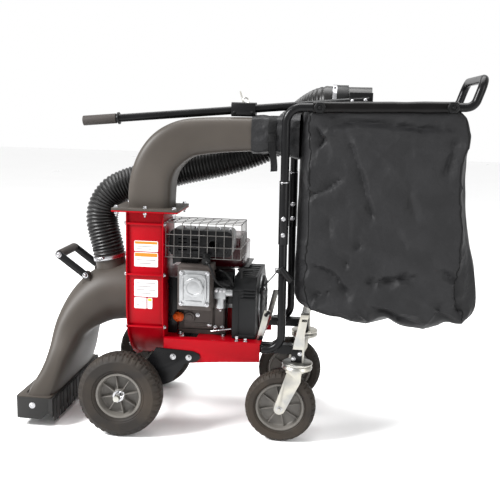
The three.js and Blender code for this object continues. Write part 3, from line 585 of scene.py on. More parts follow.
def add_cords():
    lead_path = even_path(smooth_path([at(*p) for p in PLUG_LEAD], 8), 0.003)
    verts, faces = skin(tube_rings(lead_path, 0.0035, 14))
    lead = piece_from("ht_lead", verts, faces, "black_plastic")
    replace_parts(lead, "plug_lead")
    rope_path = even_path(smooth_path([at(*p) for p in RECOIL_ROPE], 8), 0.0012)
    radii = [0.0019 + 0.00018 * math.cos(2 * math.pi * i / 4) for i in range(len(rope_path))]
    verts, faces = skin(tube_rings(rope_path, radii, 12))
    rope = piece_from("starter_rope", verts, faces, "strap_web", None)
    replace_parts(rope, "recoil_rope")
    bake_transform(rope)


# ---------------------------------------------------------------- ducts

CHUTE = [
    # x, z, half size in the X-Z plane, half width, middle y
    (70, NECK_TOP + 0.4, 65, 63, -122), (71, 740, 66, 64, -124), (78, 790, 64, 65, -125),
    (95, 835, 63, 65, -122), (123, 871, 63, 65, -116), (160, 896, 60, 64, -110),
    (204, 909, 56, 63, -105), (290, 917, 52, 62, -100),
    (388, 921, 49.5, 62, -97), (452, 922, 48, 61, -96),
]
NOZZLE = [
    # x, z, half size in the X-Z plane, half width, roundness power
    (5.6, 398, 93, 93, 2), (-55, 398, 93, 93, 2.1), (-110, 385, 90, 98, 2.3), (-165, 345, 76, 112, 2.6),
    (-205, 290, 56, 140, 3.2), (-222, 222, 43, 178, 4), (-240, 160, 40, 204, 5), (-267, 98, 42, 224, 7),
    (-272, 66, 45, 226, 8),
]
PORT_FOOT = at(-84, 0, 415)
PORT_UP = Vector((-0.19, 0, 1)).normalized()


def between(table, steps):
    """Rows of a table of numbers, smoothly filled in between."""
    made = []
    last = len(table) - 1
    for i in range(last):
        rows = [table[max(0, min(last, j))] for j in (i - 1, i, i + 1, i + 2)]
        for k in range(steps):
            made.append(tuple(spline(*four, k / steps) for four in zip(*rows)))
    made.append(tuple(table[-1]))
    return made


def oval(half_u, half_v, power, sides):
    """Evenly spaced points of a rounded rectangle, as (u, v) pairs."""
    fine = []
    for a in turns(sides * 12):
        c, s = math.cos(a), math.sin(a)
        u = half_u * math.copysign(abs(c) ** (2 / power), c)
        v = half_v * math.copysign(abs(s) ** (2 / power), s)
        fine.append(Vector((u, v)))
    return spaced([*fine, fine[0]], sides, closed=True)


def duct_rings(rows, sides, ends):
    """Rings square to rows of (x, z, a, b, y, power); ends gives the direction of the first and last."""
    rings = []
    for i, (x, z, a, b, y, power) in enumerate(rows):
        before, after = rows[max(0, i - 1)], rows[min(len(rows) - 1, i + 1)]
        run = Vector((after[0] - before[0], after[1] - before[1]))
        if i in (0, len(rows) - 1):
            run = Vector(ends[0] if i == 0 else ends[1])
        run.normalize()
        rings.append([at(x - run.y * u, y + v, z + run.x * u) for u, v in oval(a, b, power, sides)])
    return rings


def add_chute():
    rows = [(x, z, a, b, y, 5.2) for x, z, a, b, y in between(CHUTE, 6)]
    verts, faces = skin(duct_rings(rows, 72, ((0, 1), (1, 0))))
    tube = piece_from("chute_shell", verts, faces, "duct_plastic", thick=DUCT_WALL)
    kit = Kit()
    low, high = NECK_TOP + 0.4, NECK_TOP + 8
    corners = [(-32, -220), (168, -220), (168, -45), (-32, -45)]
    hole = [Vector((70 + u, -122 + v)) for u, v in oval(62, 60, 5, 24)]
    add_holed_plate(kit, corners, hole, low, high)
    base = kit.done("chute_base", "duct_plastic", 0.0015, 3)
    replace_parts(tube, "discharge_chute")
    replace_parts(base, "discharge_chute")
    bolts = Kit()
    for x, y in ((-20, -208), (156, -208), (-20, -57), (156, -57), (68, -208), (68, -57)):
        bolts.bolt(at(x, y, high), Z_AXIS, 10, 5)
        bolts.rod(at(x, y, 679), at(x, y, 686), 5.8, 6)
        bolts.rod(at(x, y, 672), at(x, y, 679), 3, 12)
    bolts.done("chute_base_bolts", "steel", FINE_EDGE)


def add_holed_plate(kit, corners, hole, low, high):
    """A four-cornered plate in X-Y with a hole of any closed outline."""
    per = len(hole) // 4
    edge = []
    for i in range(4):
        a, b = Vector(corners[i]), Vector(corners[(i + 1) % 4])
        edge += [a.lerp(b, k / per) for k in range(per)]
    mid = sum(hole, Vector((0, 0))) / len(hole)

    def bearing(p):
        return math.atan2(p[1] - mid.y, p[0] - mid.x)

    edge.sort(key=bearing)
    inner = sorted(hole, key=bearing)
    rows = []
    for ring, z in ((edge, low), (edge, high), (inner, high), (inner, low)):
        rows.append([kit.shop.verts.new(at(p[0], p[1], z)) for p in ring])
    for i in range(4):
        one, two = rows[i], rows[(i + 1) % 4]
        for k in range(len(one)):
            m = (k + 1) % len(one)
            kit.shop.faces.new((one[k], one[m], two[m], two[k]))


def add_nozzle():
    rows = [(x, z, a, b, 0, power) for x, z, a, b, power in between(NOZZLE, 6)]
    verts, faces = skin(duct_rings(rows, 96, ((-1, 0), (-0.1, -1))))
    shell = piece_from("nozzle_shell", verts, faces, "duct_plastic", thick=DUCT_WALL)
    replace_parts(shell, "nozzle_duct")
    profile = [(0, 98), (0, 60), (-4, 60), (-4, 94), (-22, 97), (-22, 101)]
    rim = [[at(-279 + u, v, z) for u, v in oval(57 + inset, 232 + inset, 16, 120)] for inset, z in profile]
    verts, faces = skin(rim, wrap=True)
    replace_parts(piece_from("nozzle_lip", verts, faces, "duct_plastic", width=0.001), "nozzle_duct")


def add_lift_lugs():
    """Two upright lugs on the nozzle's top that carry the lift handle."""
    lugs = Kit()
    for s in (1, -1):
        shape = [(-160 + 11 * math.cos(a), 458 + 11 * math.sin(a)) for a in turns(20)[:11]]
        shape += [(-174, 425), (-146, 425)]
        lugs.plate(shape, "y", min(s * 52, s * 72), max(s * 52, s * 72))
    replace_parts(lugs.done("lift_lugs", "duct_plastic", 0.001), "nozzle_duct")


def add_hose_port():
    """The flared spigot on the nozzle's top that the hose is pushed over."""
    shares = [k / 10 for k in range(11)]
    path = [PORT_FOOT + PORT_UP * 0.125 * t for t in shares]
    radii = [0.0485 + 0.16 * max(0.0, 0.5 - t) ** 2.4 for t in shares]
    verts, faces = skin(tube_rings(path, radii, 48))
    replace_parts(piece_from("hose_port", verts, faces, "duct_plastic", thick=DUCT_WALL), "nozzle_duct")


def add_hose_clamp():
    """Worm-drive band round the hose's lower end."""
    up = PORT_UP
    centre = PORT_FOOT + up * 0.096
    kit = Kit()
    kit.ring(centre, up, 51.6, 52.8, 6.0, 56)
    for rise in (0.0052, -0.0052):
        kit.ring(centre + up * rise, up, 51.6, 53.6, 0.6, 56)
    side = Vector((-0.35, -0.94, 0)).normalized()
    spot = centre + side * 0.0565
    along = up.cross(side).normalized()
    kit.rod(spot - along * 0.012, spot + along * 0.012, 5.2, 16)
    kit.rod(spot + along * 0.012, spot + along * 0.018, 4.2, 6)
    kit.done("hose_clamp", "steel", FINE_EDGE)


# ---------------------------------------------------------------- tube frame

def bar_point(x):
    (x0, z0), (x1, z1) = BAR_ENDS
    return at(x, BAR_Y, z0 + (x - x0) * (z1 - z0) / (x1 - x0))


def long_bar_z(x):
    """Height of the upper frame's long bars, which climb a little to the rear."""
    return 1002.5 + (x - 477) * 0.023


def black_tube(name, path, r=TUBE_R):
    return pipe(name, path, r / 1000, "black_paint")


def add_frame_tubes():
    for side, s in SIDES:
        y = s * MAST_Y
        lower = bent([at(424, y, 281), at(483, y, 281), at(479, y, 605)], [0.048])
        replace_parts(black_tube(f"lower_tube_{side}", lower), f"mast_lower_{side}")
        upper = bent([at(479, y, 605.4), at(477, y, 1002.5), at(951, y, 1013.4)], [0.045])
        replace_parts(black_tube(f"upper_tube_{side}", upper), f"upper_frame_{side}")
        sleeve = black_tube(f"mast_sleeve_{side}", [at(479, y, 605.4), at(477.7, y, 792)], TUBE_R + 2)
        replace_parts(sleeve, f"upper_frame_{side}")
        hardware = Kit()
        for z in (634, 682):
            for t in (1, -1):
                hardware.screw(at(479, y + t * 14.2, z), t * Y_AXIS, 7.5, 4.5)
        for t in (1, -1):
            hardware.rod(at(471, y + t * 12, 786), at(471, y + t * 16.5, 786), 3.2, 16, r2=2.6)
        hardware.ring(at(477.7, y, 788), Z_AXIS, 14.4, 15.4, 1.4, 32)
        hardware.done(f"mast_bolts_{side}", "steel", FINE_EDGE)
        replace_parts(add_knob(f"front_knob_{side}", 573, s, "root"), f"upper_frame_{side}")
        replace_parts(add_knob(f"rear_knob_{side}", 941, s, f"knob_{side}"), f"handle_knob_{side}")
    add_rope_guide()
    y = MAST_Y
    corners = [at(951.6, -y, 1013.4), at(1000, -y, 1015.5), at(1026, -y, 1094), at(1026, y, 1094),
               at(1000, y, 1015.5), at(951.6, y, 1013.4)]
    handle = black_tube("push_handle", bent(corners, [0.03, 0.036, 0.036, 0.03]))
    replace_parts(handle, "handle_bar")


def add_rope_guide():
    """A small folded frame on the right mast with a gap for the recoil rope."""
    guide = Kit()
    guide.box(459, 479, -207, -200, 522, 524.5)
    guide.box(459, 479, -207, -200, 533.5, 536)
    guide.box(459, 461, -207, -194, 522, 536)
    guide.box(468, 479, -207, -200, 522, 536)
    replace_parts(guide.done("rope_guide", "steel", 0.0005), "mast_lower_right")


def add_knob(name, x, s, body):
    """A lobed clamp knob with a bolt in its middle."""
    z = long_bar_z(x)
    y = s * MAST_Y
    outline = [(0.5, 18), (10, 18), (15.2, 19.5), (16.2, 23), (16.2, 31), (14.6, 34), (8, 34.6), (7, 33),
               (0.5, 33)]
    rings = []
    for r, h in outline:
        lobe = 0.05 if r > 12 else 0
        rings.append([round_y(x, y + s * h, z, r + r * lobe * math.cos(6 * a), a) for a in turns(48)])
    verts, faces = skin(rings)
    knob = piece_from(name, verts, faces, "black_plastic", body, width=0.0005)
    middle = [at(x, y + s * 32.6, z)]
    bolt_group(f"{name}_bolt", s * Y_AXIS, middle, 8.5, 3.2, "black_paint", body, washer=False)
    return knob


# ---------------------------------------------------------------- wheels

TYRE_SIDE = [
    # share of the tyre's height above the rim, share of its half width: shoulder, side ribs and edge bead
    (0.05, 0.80), (0.12, 0.88), (0.16, 0.865), (0.2, 0.93), (0.42, 0.985), (0.6, 0.97), (0.64, 0.985),
    (0.68, 0.955), (0.8, 0.87), (0.84, 0.83), (0.93, 0.71), (0.965, 0.52),
]


def groove(w, half, step):
    """Depth of the cuts between tread blocks, staggered across the tyre in turns of eight steps."""
    share = abs(w) / half
    shift = (4 if w > 0 else 0) + (4 if 0.3 < share < 0.6 else 0)
    if not 0.1 < share < 0.875 or (step + shift) % 8 > 2:
        return 0.0
    return 3.6 if share > 0.25 else 2.2


def add_tyre(node, body, wheel, s):
    """A pneumatic tyre: rounded carcass with a band of staggered tread blocks and moulded side ribs."""
    half = wheel["width"] / 2
    seat, radius = wheel["seat"], wheel["radius"]
    height = radius - seat
    profile = [(seat + 0.3, 0.70), *((seat + t * height, w) for t, w in TYRE_SIDE)]
    profile += [(radius - 1.0, 0.3), (radius - 0.4, 0.12)]
    full = [(r, w * half) for r, w in profile] + [(radius - 0.3, 0.0)]
    full += [(r, -w * half) for r, w in reversed(profile)]
    rings = []
    for r, w in full:
        tread = r > seat + 0.5 * height
        rings.append([
            round_y(wheel["x"], s * wheel["y"] + w, radius, r - groove(w, half, k) if tread else r, a)
            for k, a in enumerate(turns(wheel["lugs"] * 8))
        ])
    verts, faces = skin(rings)
    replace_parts(piece_from(f"{node}_tread", verts, faces, "tyre", body), node)


def add_rim(node, body, wheel, s):
    """A moulded rim: dished disc with eight ribs, a hub with an insert, and a rolled edge."""
    width, rim, bore = wheel["width"], wheel["rim"], wheel["bore"]
    x, y, z = wheel["x"], s * wheel["y"], wheel["radius"]
    lip = 0.38 * width
    profile = [
        (bore, 0.30 * width), (HUB_R - 3, 0.30 * width), (HUB_R, 0.27 * width), (HUB_R + 1.5, 6),
        (HUB_R + 5, 4), (rim - 15, 4), (rim - 11.5, 6.5), (rim - 8.5, lip - 5), (rim - 6.5, lip - 1),
        (rim - 3, lip), (rim, lip - 1.2), (rim, 0),
    ]
    full = profile + [(r, -w) for r, w in reversed(profile[:-1])]
    rings = [[round_y(x, y + s * w, z, r, a) for a in turns(96)] for r, w in full]
    verts, faces = skin(rings, wrap=True)
    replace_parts(piece_from(f"{node}_dish", verts, faces, "rim_plastic", body), node)
    ribs = Kit()
    for i in range(8):
        a = i * math.pi / 4 + 0.2
        out = Vector((math.cos(a), 0, math.sin(a))) / 1000
        across = Vector((-math.sin(a), 0, math.cos(a))) * 0.0015
        near, far = (at(x, y, z) + out * r for r in (HUB_R - 1, rim - 9))
        for t in (s, -s):
            ribs.rib(near, far, across, t * Y_AXIS / 1000, 3.5, 0.27 * width, 0.2 * width)
    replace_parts(ribs.done(f"{node}_ribs", "rim_plastic", body=body), node)
    insert = Kit()
    for t in (1, -1):
        insert.ring(at(x, y + t * 0.3 * width, z), Y_AXIS, bore + 0.1, bore + 5, 1.0, 32)
    insert.done(f"{node}_insert", "steel", FINE_EDGE, body=body)


def add_wheels():
    for side, s in SIDES:
        for kind, wheel in WHEELS.items():
            body = f"{kind}_wheel_{side}"
            add_tyre(f"{kind}_tyre_{side}", body, wheel, s)
            add_rim(f"{kind}_rim_{side}", body, wheel, s)
        add_axle_clip(side, s)


def add_axle_clip(side, s):
    """Washer and spring clip that hold a front wheel on its axle."""
    kit = Kit()
    kit.ring(at(0, s * 262, 130), Y_AXIS, 9.8, 17, 1.2, 32)
    kit.rod(at(0, s * 270, 130 - 17), at(0, s * 270, 130 + 15), 2.1, 12)
    kit.done(f"axle_pin_{side}", "steel", FINE_EDGE)
    loop = []
    for k in range(15):
        a = math.radians(-60 + 300 * k / 14)
        loop.append(at(13 + 8 * math.cos(a), s * 274, 141 + 8 * math.sin(a)))
    leg = [at(-10, s * 274, 117), at(-2, s * 275, 126), at(4, s * 274, 131), *loop, at(2, s * 272, 126)]
    pipe(f"axle_clip_{side}", smooth_path(leg, 4), 0.0018, "steel", 10)


# ---------------------------------------------------------------- bag

BAG_FRONT_STOP = 509.5
BAG_SIDE_STOP = 196
BAG_LEVELS = [
    # z, front x, near-face front x, near-face rear x, rear x, half width
    (1006, 536, 552, 958, 966, 188), (985, 522, 545, 978, 990, 189), (950, 517, 543, 990, 1002, 189),
    (915, 516, 546, 992, 1006, 189), (870, 516, 549, 980, 1000, 190), (790, 515, 551, 976, 1000, 190),
    (720, 515, 552, 984, 1006, 191), (650, 515, 551, 990, 1016, 192), (580, 515, 549, 990, 1034, 192),
    (510, 515, 548, 988, 1050, 190), (450, 517, 551, 996, 1054, 188), (420, 532, 566, 1012, 1052, 186),
    (398, 578, 610, 1008, 1040, 178), (378, 640, 672, 985, 1012, 160), (360, 694, 730, 925, 948, 120),
]
# Creases of the near face: (x, z) points from end to end, depth (positive stands out) and half width
CREASES = [
    ([(650, 930), (690, 830), (720, 740), (750, 660)], -7, 16),
    ([(672, 925), (712, 825), (744, 745), (768, 670)], 6, 18),
    ([(550, 750), (590, 770), (650, 810)], -8, 12), ([(556, 728), (600, 744), (655, 782)], 5, 14),
    ([(670, 520), (750, 550), (850, 580)], 9, 22), ([(720, 500), (790, 512), (870, 524)], -9, 15),
    ([(750, 424), (830, 394), (890, 378)], -10, 14), ([(735, 450), (800, 436), (880, 410)], 8, 20),
    ([(830, 790), (860, 690)], -5, 14), ([(850, 610), (900, 640), (980, 530)], 7, 16),
    ([(930, 560), (990, 520), (992, 470), (1015, 410)], -9, 14),
    ([(900, 500), (950, 486), (966, 440)], 7, 18),
    ([(600, 955), (680, 967), (770, 962), (860, 952), (970, 958)], -6, 11),
    ([(600, 935), (700, 948), (860, 934), (975, 938)], 4, 14),
    ([(760, 710), (740, 650), (710, 620)], 5, 14), ([(960, 930), (950, 870), (940, 820)], -6, 16),
    ([(550, 550), (640, 510), (670, 460)], -8, 14), ([(556, 575), (640, 540), (690, 480)], 6, 16),
    ([(560, 452), (620, 470)], -6, 10), ([(552, 950), (580, 915), (562, 890)], -9, 9),
    ([(610, 700), (612, 620)], -4, 12), ([(710, 620), (680, 595), (660, 540)], -6, 13),
    ([(575, 880), (585, 820), (565, 760)], 5, 14), ([(890, 860), (880, 760), (905, 690)], 4, 20),
    ([(640, 640), (690, 560), (740, 470)], 4, 16), ([(800, 680), (840, 600), (835, 520)], -4, 18),
    ([(625, 420), (680, 400), (700, 385)], 6, 14), ([(960, 470), (940, 420), (985, 395)], -7, 12),
]


def crease_height(x, z, mirror):
    """How far the creases lift the cloth at (x, z), in millimetres. The far face uses them shifted."""
    if mirror:
        x, z = 1530 - x, z + 18
    height = 0.0
    for line, depth, spread in CREASES:
        best = 1e9
        share = 0.0
        for i in range(len(line) - 1):
            (ax, az), (bx, bz) = line[i], line[i + 1]
            dx, dz = bx - ax, bz - az
            t = max(0.0, min(1.0, ((x - ax) * dx + (z - az) * dz) / (dx * dx + dz * dz)))
            d = math.hypot(x - ax - t * dx, z - az - t * dz)
            if d < best:
                best = d
                share = (i + t) / (len(line) - 1)
        if best < spread * 3:
            fade = min(1.0, 5 * min(share, 1 - share) + 0.35)
            height += 2.1 * depth * fade * math.exp(-(best / spread) ** 1.4)
    return height


def foot_lift(x, z):
    """How far the bag's foot is drawn up between its low points, in millimetres."""
    share = max(0.0, (432 - z) / 70)
    return share * (26 * math.exp(-((x - 787) / 34) ** 2) + 16 * math.exp(-((x - 965) / 30) ** 2)
                    + 8 * math.exp(-((x - 650) / 18) ** 2))


def bag_outline(front, near_front, near_rear, rear, half, count):
    """Evenly spaced points round the bag at one level, from the middle of the front face through -Y."""
    corners = [Vector(pair) for pair in (
        (front, 0), (front, -0.62 * half), (front + 4, -0.8 * half), (near_front - 3, -half + 3),
        (near_front + 6, -half - 1), (near_rear - 6, -half - 1), (near_rear + 3, -half + 4),
        (rear - 3, -0.72 * half), (rear, -0.5 * half), (rear, 0),
    )]
    corners += [Vector((p.x, -p.y)) for p in reversed(corners[1:-1])]
    return spaced([*corners, corners[0]], count, closed=True)


def bag_point(p, z, half):
    """Where the cloth hangs at point p of the outline and height z, with its gathers, creases and sag."""
    side = -1 if p.y < 0 else 1
    on_side = min(1.0, max(0.0, (abs(p.y) / half - 0.8) / 0.18))
    drop = (1010 - z) / 650
    hang = wobble(p.x / 130, p.y / 90, z / 420) * 9 * (0.35 + drop)
    fold = 1 - 2.4 * abs(wobble(p.x / 105 + z / 260, side * 3.3, z / 95))
    cross = 1 - 2.4 * abs(wobble(p.x / 80 - z / 170 + 9, side * 5.1, z / 120))
    fine = wobble(p.x / 46, p.y / 46, z / 60 + 7) * 3.0
    fine += on_side * (0.4 + drop) * (7.5 * max(0.0, fold) ** 3 + 6 * max(0.0, cross) ** 3)
    swell = crease_height(p.x, z, side > 0) * on_side + hang * (1.0 - 0.5 * on_side) + fine
    if z > 975:
        swell *= max(0.0, (1006 - z) / 31)
    out = Vector((p.x - 760, p.y * 1.5)).normalized()
    sag = wobble(p.x / 85, p.y / 120, 3.0) * 8 * max(0.0, (470 - z) / 110) + foot_lift(p.x, z)
    x = max(BAG_FRONT_STOP, p.x + out.x * swell)
    y = p.y + out.y * swell
    return at(x, y * BAG_SIDE_STOP / max(BAG_SIDE_STOP, abs(y)), z + sag)


def add_bag():
    """The bag's cloth: a loft that hangs from the bars, closed by a foot and a roof."""
    around = 320
    rings = []
    seams = {"front": [], "rear": []}
    for z, front, near_front, near_rear, rear, half in between(BAG_LEVELS, 9):
        outline = bag_outline(front, near_front, near_rear, rear, half, around)
        ring = [bag_point(p, z, half) for p in outline]
        rings.append(ring)
        if 400 < z < 985:
            for seam, x in (("front", near_front), ("rear", near_rear)):
                corner = at(x, -half, z)
                seams[seam].append(min(ring, key=lambda p: (p.xy - corner.xy).length))
    verts, faces = skin(rings)
    centre = len(verts)
    verts.append(at(812, 0, 352))
    last = (len(rings) - 1) * around
    for k in range(around):
        faces.append((last + k, last + (k + 1) % around, centre))
    faces += add_bag_roof(rings[0], verts)
    bag = piece_from("bag_cloth", verts, faces, "bag_fabric", thick=0.0015)
    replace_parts(bag, "collection_bag")
    for seam, points in seams.items():
        pipe(f"bag_{seam}_piping", even_path(smooth_path(points, 2), 0.006), 0.0017, "strap_web", 10)


def add_bag_roof(rim, verts):
    """Faces of the cloth roof: it dips between the bars, clear of the boom tube and the hose."""
    around = len(rim)
    rows = 7
    middle = sum((p.x for p in rim)) / around
    rings = [list(range(around))]
    for i in range(1, rows + 1):
        t = i / (rows + 1)
        ids = []
        drop = 0.085 * math.sin(min(1.0, t * 1.4) * math.pi / 2)
        for p in rim:
            spot = p.lerp(Vector((middle, 0, p.z)), t)
            wave = noise.noise(spot * 14) * 0.006
            ids.append(len(verts))
            verts.append(Vector((spot.x, spot.y, spot.z - drop + wave)))
        rings.append(ids)
    faces = []
    for one, two in zip(rings, rings[1:]):
        for k in range(around):
            m = (k + 1) % around
            faces.append((one[k], one[m], two[m], two[k]))
    faces.append(tuple(rings[-1]))
    return faces


def add_flaps():
    """Coated tunnels that hold the bag on its bars, each with a stitched lower edge."""
    for side, s in SIDES:
        rings = []
        steps = 60
        for i in range(steps + 1):
            x = 553 + (957 - 553) * i / steps
            z = long_bar_z(x)
            wave = wobble(x / 60, s * 5, 0) * 1.2
            ring = []
            for u, v in oval(15.2 + wave * 0.4, 16.5 + wave, 2.4, 36):
                pull = max(0.0, -v - 8) * 0.25
                ring.append(at(x, s * MAST_Y + u * (1 - pull / 15) + s * 1.0, z + v))
            rings.append(ring)
        verts, faces = skin(rings)
        flap = piece_from(f"bar_flap_{side}", verts, faces, "flap_coated", thick=0.0012)
        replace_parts(flap, "collection_bag")
        stitch = Kit()
        for i in range(66):
            x = 559 + 6 * i
            spot = at(x, s * (MAST_Y + 10.6), long_bar_z(x) - 15.2)
            stitch.rod(spot, spot + Vector((0.0032, 0, 0.00007)), 0.5, 6)
        stitch.done(f"flap_stitches_{side}", "strap_web", 0.0001)


def add_sleeve():
    """The bag's neck: loose cloth gathered on the chute."""
    rows = [
        (374, 921, 54.5, 67, -97, 4.2), (400, 921, 55.5, 68, -97, 4), (428, 921, 54, 66.5, -97, 4.4),
        (440, 921, 54, 66.5, -97, 4.4), (462, 920.5, 59, 69, -97, 3.4), (490, 919, 62, 69, -99, 3.2),
        (515, 918, 66, 69, -100, 3.2),
    ]
    rings = []
    for x, z, a, b, y, power in between(rows, 8):
        ring = []
        for k, (u, v) in enumerate(oval(a, b, power, 96)):
            tight = math.exp(-((x - 434) / 16) ** 2)
            fold = math.sin(k * 2 * math.pi / 96 * 13 + wobble(k / 9, x / 40, 0) * 3)
            lift = max(-1.5, 1.8 * fold * (1 - tight) + 2.4 * wobble(u / 30, v / 30, x / 26))
            grow = 1 + lift / math.hypot(u, v)
            ring.append(at(x, y + v * grow, z + u * grow))
        rings.append(ring)
    verts, faces = skin(rings)
    sleeve = piece_from("sleeve_cloth", verts, faces, "bag_fabric", thick=0.0012)
    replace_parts(sleeve, "bag_sleeve")


def add_sleeve_strap():
    """The strap that gathers the sleeve, with its buckle and hanging tail."""
    band = []
    for x in (424, 446):
        band.append([at(x, -97 + v, 921 + u) for u, v in oval(56, 68.8, 4.4, 96)])
    verts, faces = skin(band)
    strap = piece_from("sleeve_strap", verts, faces, "strap_web", thick=0.0016)
    kit = Kit()
    kit.box(423, 447, -170.5, -166.8, 900, 926)
    kit.box(428, 442, -172.6, -170, 905, 921)
    kit.done("strap_buckle", "black_plastic", 0.001)
    tail = []
    for i in range(13):
        t = i / 12
        x = 436 + 10 * math.sin(t * 2.2) * t
        y = -170 + 6 * math.sin(t * 3.0)
        tail.append([at(x - 10, y, 902 - 86 * t), at(x + 10, y - 2 * t, 902 - 84 * t)])
    verts = [p for row in tail for p in row]
    faces = [(2 * i, 2 * i + 1, 2 * i + 3, 2 * i + 2) for i in range(12)]
    hanging = piece_from("strap_tail", verts, faces, "strap_web", thick=0.0015)


# ---------------------------------------------------------------- fittings

def add_housing_bolts():
    kit = Kit()
    spots = [(-186, 649), (-186, 494), (-179, 330), (-56, 649)]
    for degrees in (225, 262, 300, 335, 10, 45):
        a = math.radians(degrees)
        spots.append((186 * math.cos(a), FAN_Z + 186 * math.sin(a)))
    for y, z in spots:
        kit.bolt(at(121.2, y, z), X_AXIS, 9, 4.5)
        kit.bolt(at(5.8, y, z), -X_AXIS, 9, 4.5)
    kit.done("housing_bolts", "steel", FINE_EDGE)


def add_sticker(name, x0, x1, z0, z1, header, lines):
    """A blank sticker: white ground, a coloured band along its top and a few plain grey stripes."""
    r = 3
    outline = []
    centres = ((x1 - r, z1 - r), (x0 + r, z1 - r), (x0 + r, z0 + r), (x1 - r, z0 + r))
    for (cx, cz), first in zip(centres, (0, 90, 180, 270)):
        for k in range(5):
            a = math.radians(first + 90 * k / 4)
            outline.append((cx + r * math.cos(a), cz + r * math.sin(a)))
    ground = Kit().plate(outline, "y", NEAR_WALL - 0.5, NEAR_WALL - 0.1)
    ground.done(f"{name}_ground", "label_white", 0)
    if header:
        height = 0.3 * (z1 - z0)
        band = Kit().box(x0 + 2, x1 - 2, NEAR_WALL - 0.7, NEAR_WALL - 0.4, z1 - height, z1 - 2)
        band.done(f"{name}_band", header, 0)
        z1 -= height
    stripes = Kit()
    for i in range(lines):
        z = z1 - (z1 - z0) * (i + 1) / (lines + 1)
        stripes.box(x0 + 7, x1 - 7 - 14 * (i % 2), NEAR_WALL - 0.7, NEAR_WALL - 0.4, z - 1.1, z + 1.1)
    stripes.done(f"{name}_stripes", "label_grey", 0)


def add_stickers():
    add_sticker("sticker_top", 30, 103, 565, 597, "label_orange", 2)
    add_sticker("sticker_upper", 30, 103, 518, 562, "label_orange", 2)
    add_sticker("sticker_plate", 30, 103, 425, 478, None, 4)
    add_sticker("sticker_low", 30, 68, 388, 422, None, 2)
    add_sticker("sticker_side", 71, 86, 388, 422, "label_yellow", 1)


def add_chassis_fittings():
    bolts = Kit()
    for s in (1, -1):
        for x, z in ((152, 242), (201, 242)):
            bolts.bolt(at(x, s * 190.5, z), s * Y_AXIS, 11, 5)
        for x in (160, 296):
            bolts.bolt(at(x, s * 126, 298), Z_AXIS, 9, 5)
    bolts.bolt(at(345, -172, 298), Z_AXIS, 9, 14)
    bolts.bolt(at(372, -172, 298), Z_AXIS, 9, 8)
    bolts.done("deck_bolts", "steel", FINE_EDGE)
    for s in (1, -1):
        link_plate = Kit().plate([(400, 286), (419, 286), (444, 392), (425, 392)], "y", s * 147, s * 143)
        link_plate.done(f"link_plate_{s}", "zinc", 0.0006)
        studs = [at(x, s * 147, z) for x, z in ((412, 297), (417, 306), (431, 378), (437, 385))]
        bolt_group(f"link_bolts_{s}", s * Y_AXIS, studs, 7, 3.5, "black_paint")


def add_skirt_fittings():
    kit = Kit()
    for s in (1, -1):
        kit.screw(at(-283, s * 235.4, 71), s * Y_AXIS, 7.5, 4)
        kit.rod(at(-283, s * 235.4, 71), at(-283, s * 236.2, 71), 10, 24)
    for y in (-150, -50, 50, 150):
        kit.screw(at(-339.4, y, 74), -X_AXIS, 7, 4)
    kit.done("skirt_screws", "steel", FINE_EDGE)
    strips = Kit()
    for i in range(22):
        y = -226 + 20.5 * i
        lean = 1.5 * math.sin(i * 2.1)
        strips.box(-217.6 + lean, -215.6 + lean, y, y + 18.5, 18, 92)
    strips.done("skirt_strips", "skirt_rubber", 0.0006)


def add_lift_handle_bolts():
    kit = Kit()
    for s in (1, -1):
        for x, z in ((-247, 521), (-160, 458)):
            kit.rod(at(x, s * 78.5, z), at(x, s * 79.7, z), 9.5, 24)
            kit.screw(at(x, s * 79.7, z), s * Y_AXIS, 7, 8 if x > -200 else 4)
    kit.done("lift_handle_bolts", "steel", FINE_EDGE, body="lift_handle")


def add_caster_fittings():
    for side, s in SIDES:
        kit = Kit()
        for t in (1, -1):
            kit.bolt(at(486, s * 186 + t * 38.5, 108), t * Y_AXIS, 11, 5)
        kit.done(f"caster_axle_bolt_{side}", "steel", FINE_EDGE, body=f"caster_{side}")
        nuts = [at(x, s * 201.3, z) for x, z in ((522, 262), (541, 278))]
        bolt_group(f"caster_block_bolts_{side}", s * Y_AXIS, nuts, 8, 4)


def add_boom_fittings():
    kit = Kit()
    kit.ring(at(610, -38, 1017), X_AXIS, 55.1, 56.4, 6, 56)
    kit.rod(at(606, -70, 1064), at(614, -70, 1064), 4.5, 12)
    for x in (662, 700):
        spot = bar_point(x) + Vector((0, -0.012, 0.002))
        kit.screw(spot, Vector((0, -1, 0.1)), 6, 3.5)
    kit.done("boom_band", "steel", FINE_EDGE, body="wand")
    cradle = Kit()
    for x in (318, 370):
        cradle.screw(at(x, BAR_Y - 22, 984), -Y_AXIS, 5, 2.5)
    cradle.done("cradle_screws", "black_paint", FINE_EDGE)
    collar = Kit()
    collar.ring(bar_point(-39), bar_point(0) - bar_point(-39), 17.4, 18.2, 2.4, 40)
    collar.done("bar_collar_ring", "black_plastic", 0.0004, body="wand")


def add_muffler_details():
    kit = Kit()
    kit.ring(at(267, -170.6, 591), Y_AXIS, 12.2, 16, 0.8, 36)
    for x in (148, 310):
        for z in (568, 620):
            kit.screw(at(x, -170, z), -Y_AXIS, 4, 2.2)
    kit.done("muffler_screws", "black_plastic", FINE_EDGE)
    louvres = Kit()
    for x in (158, 194):
        for k in range(4):
            louvres.box(x, x + 2.2, -171.2, -170, 571 + k * 11, 575 + k * 11)
            louvres.box(x + 2.2, x + 32, -171.4, -170.2, 575.4 + k * 11, 576.6 + k * 11)
    louvres.done("muffler_louvres", "shroud_plastic", 0.0002)
    bolt_group("muffler_bolts", Z_AXIS, [at(x, -120, 632) for x in (172, 206, 240, 280, 312)], 8, 4)


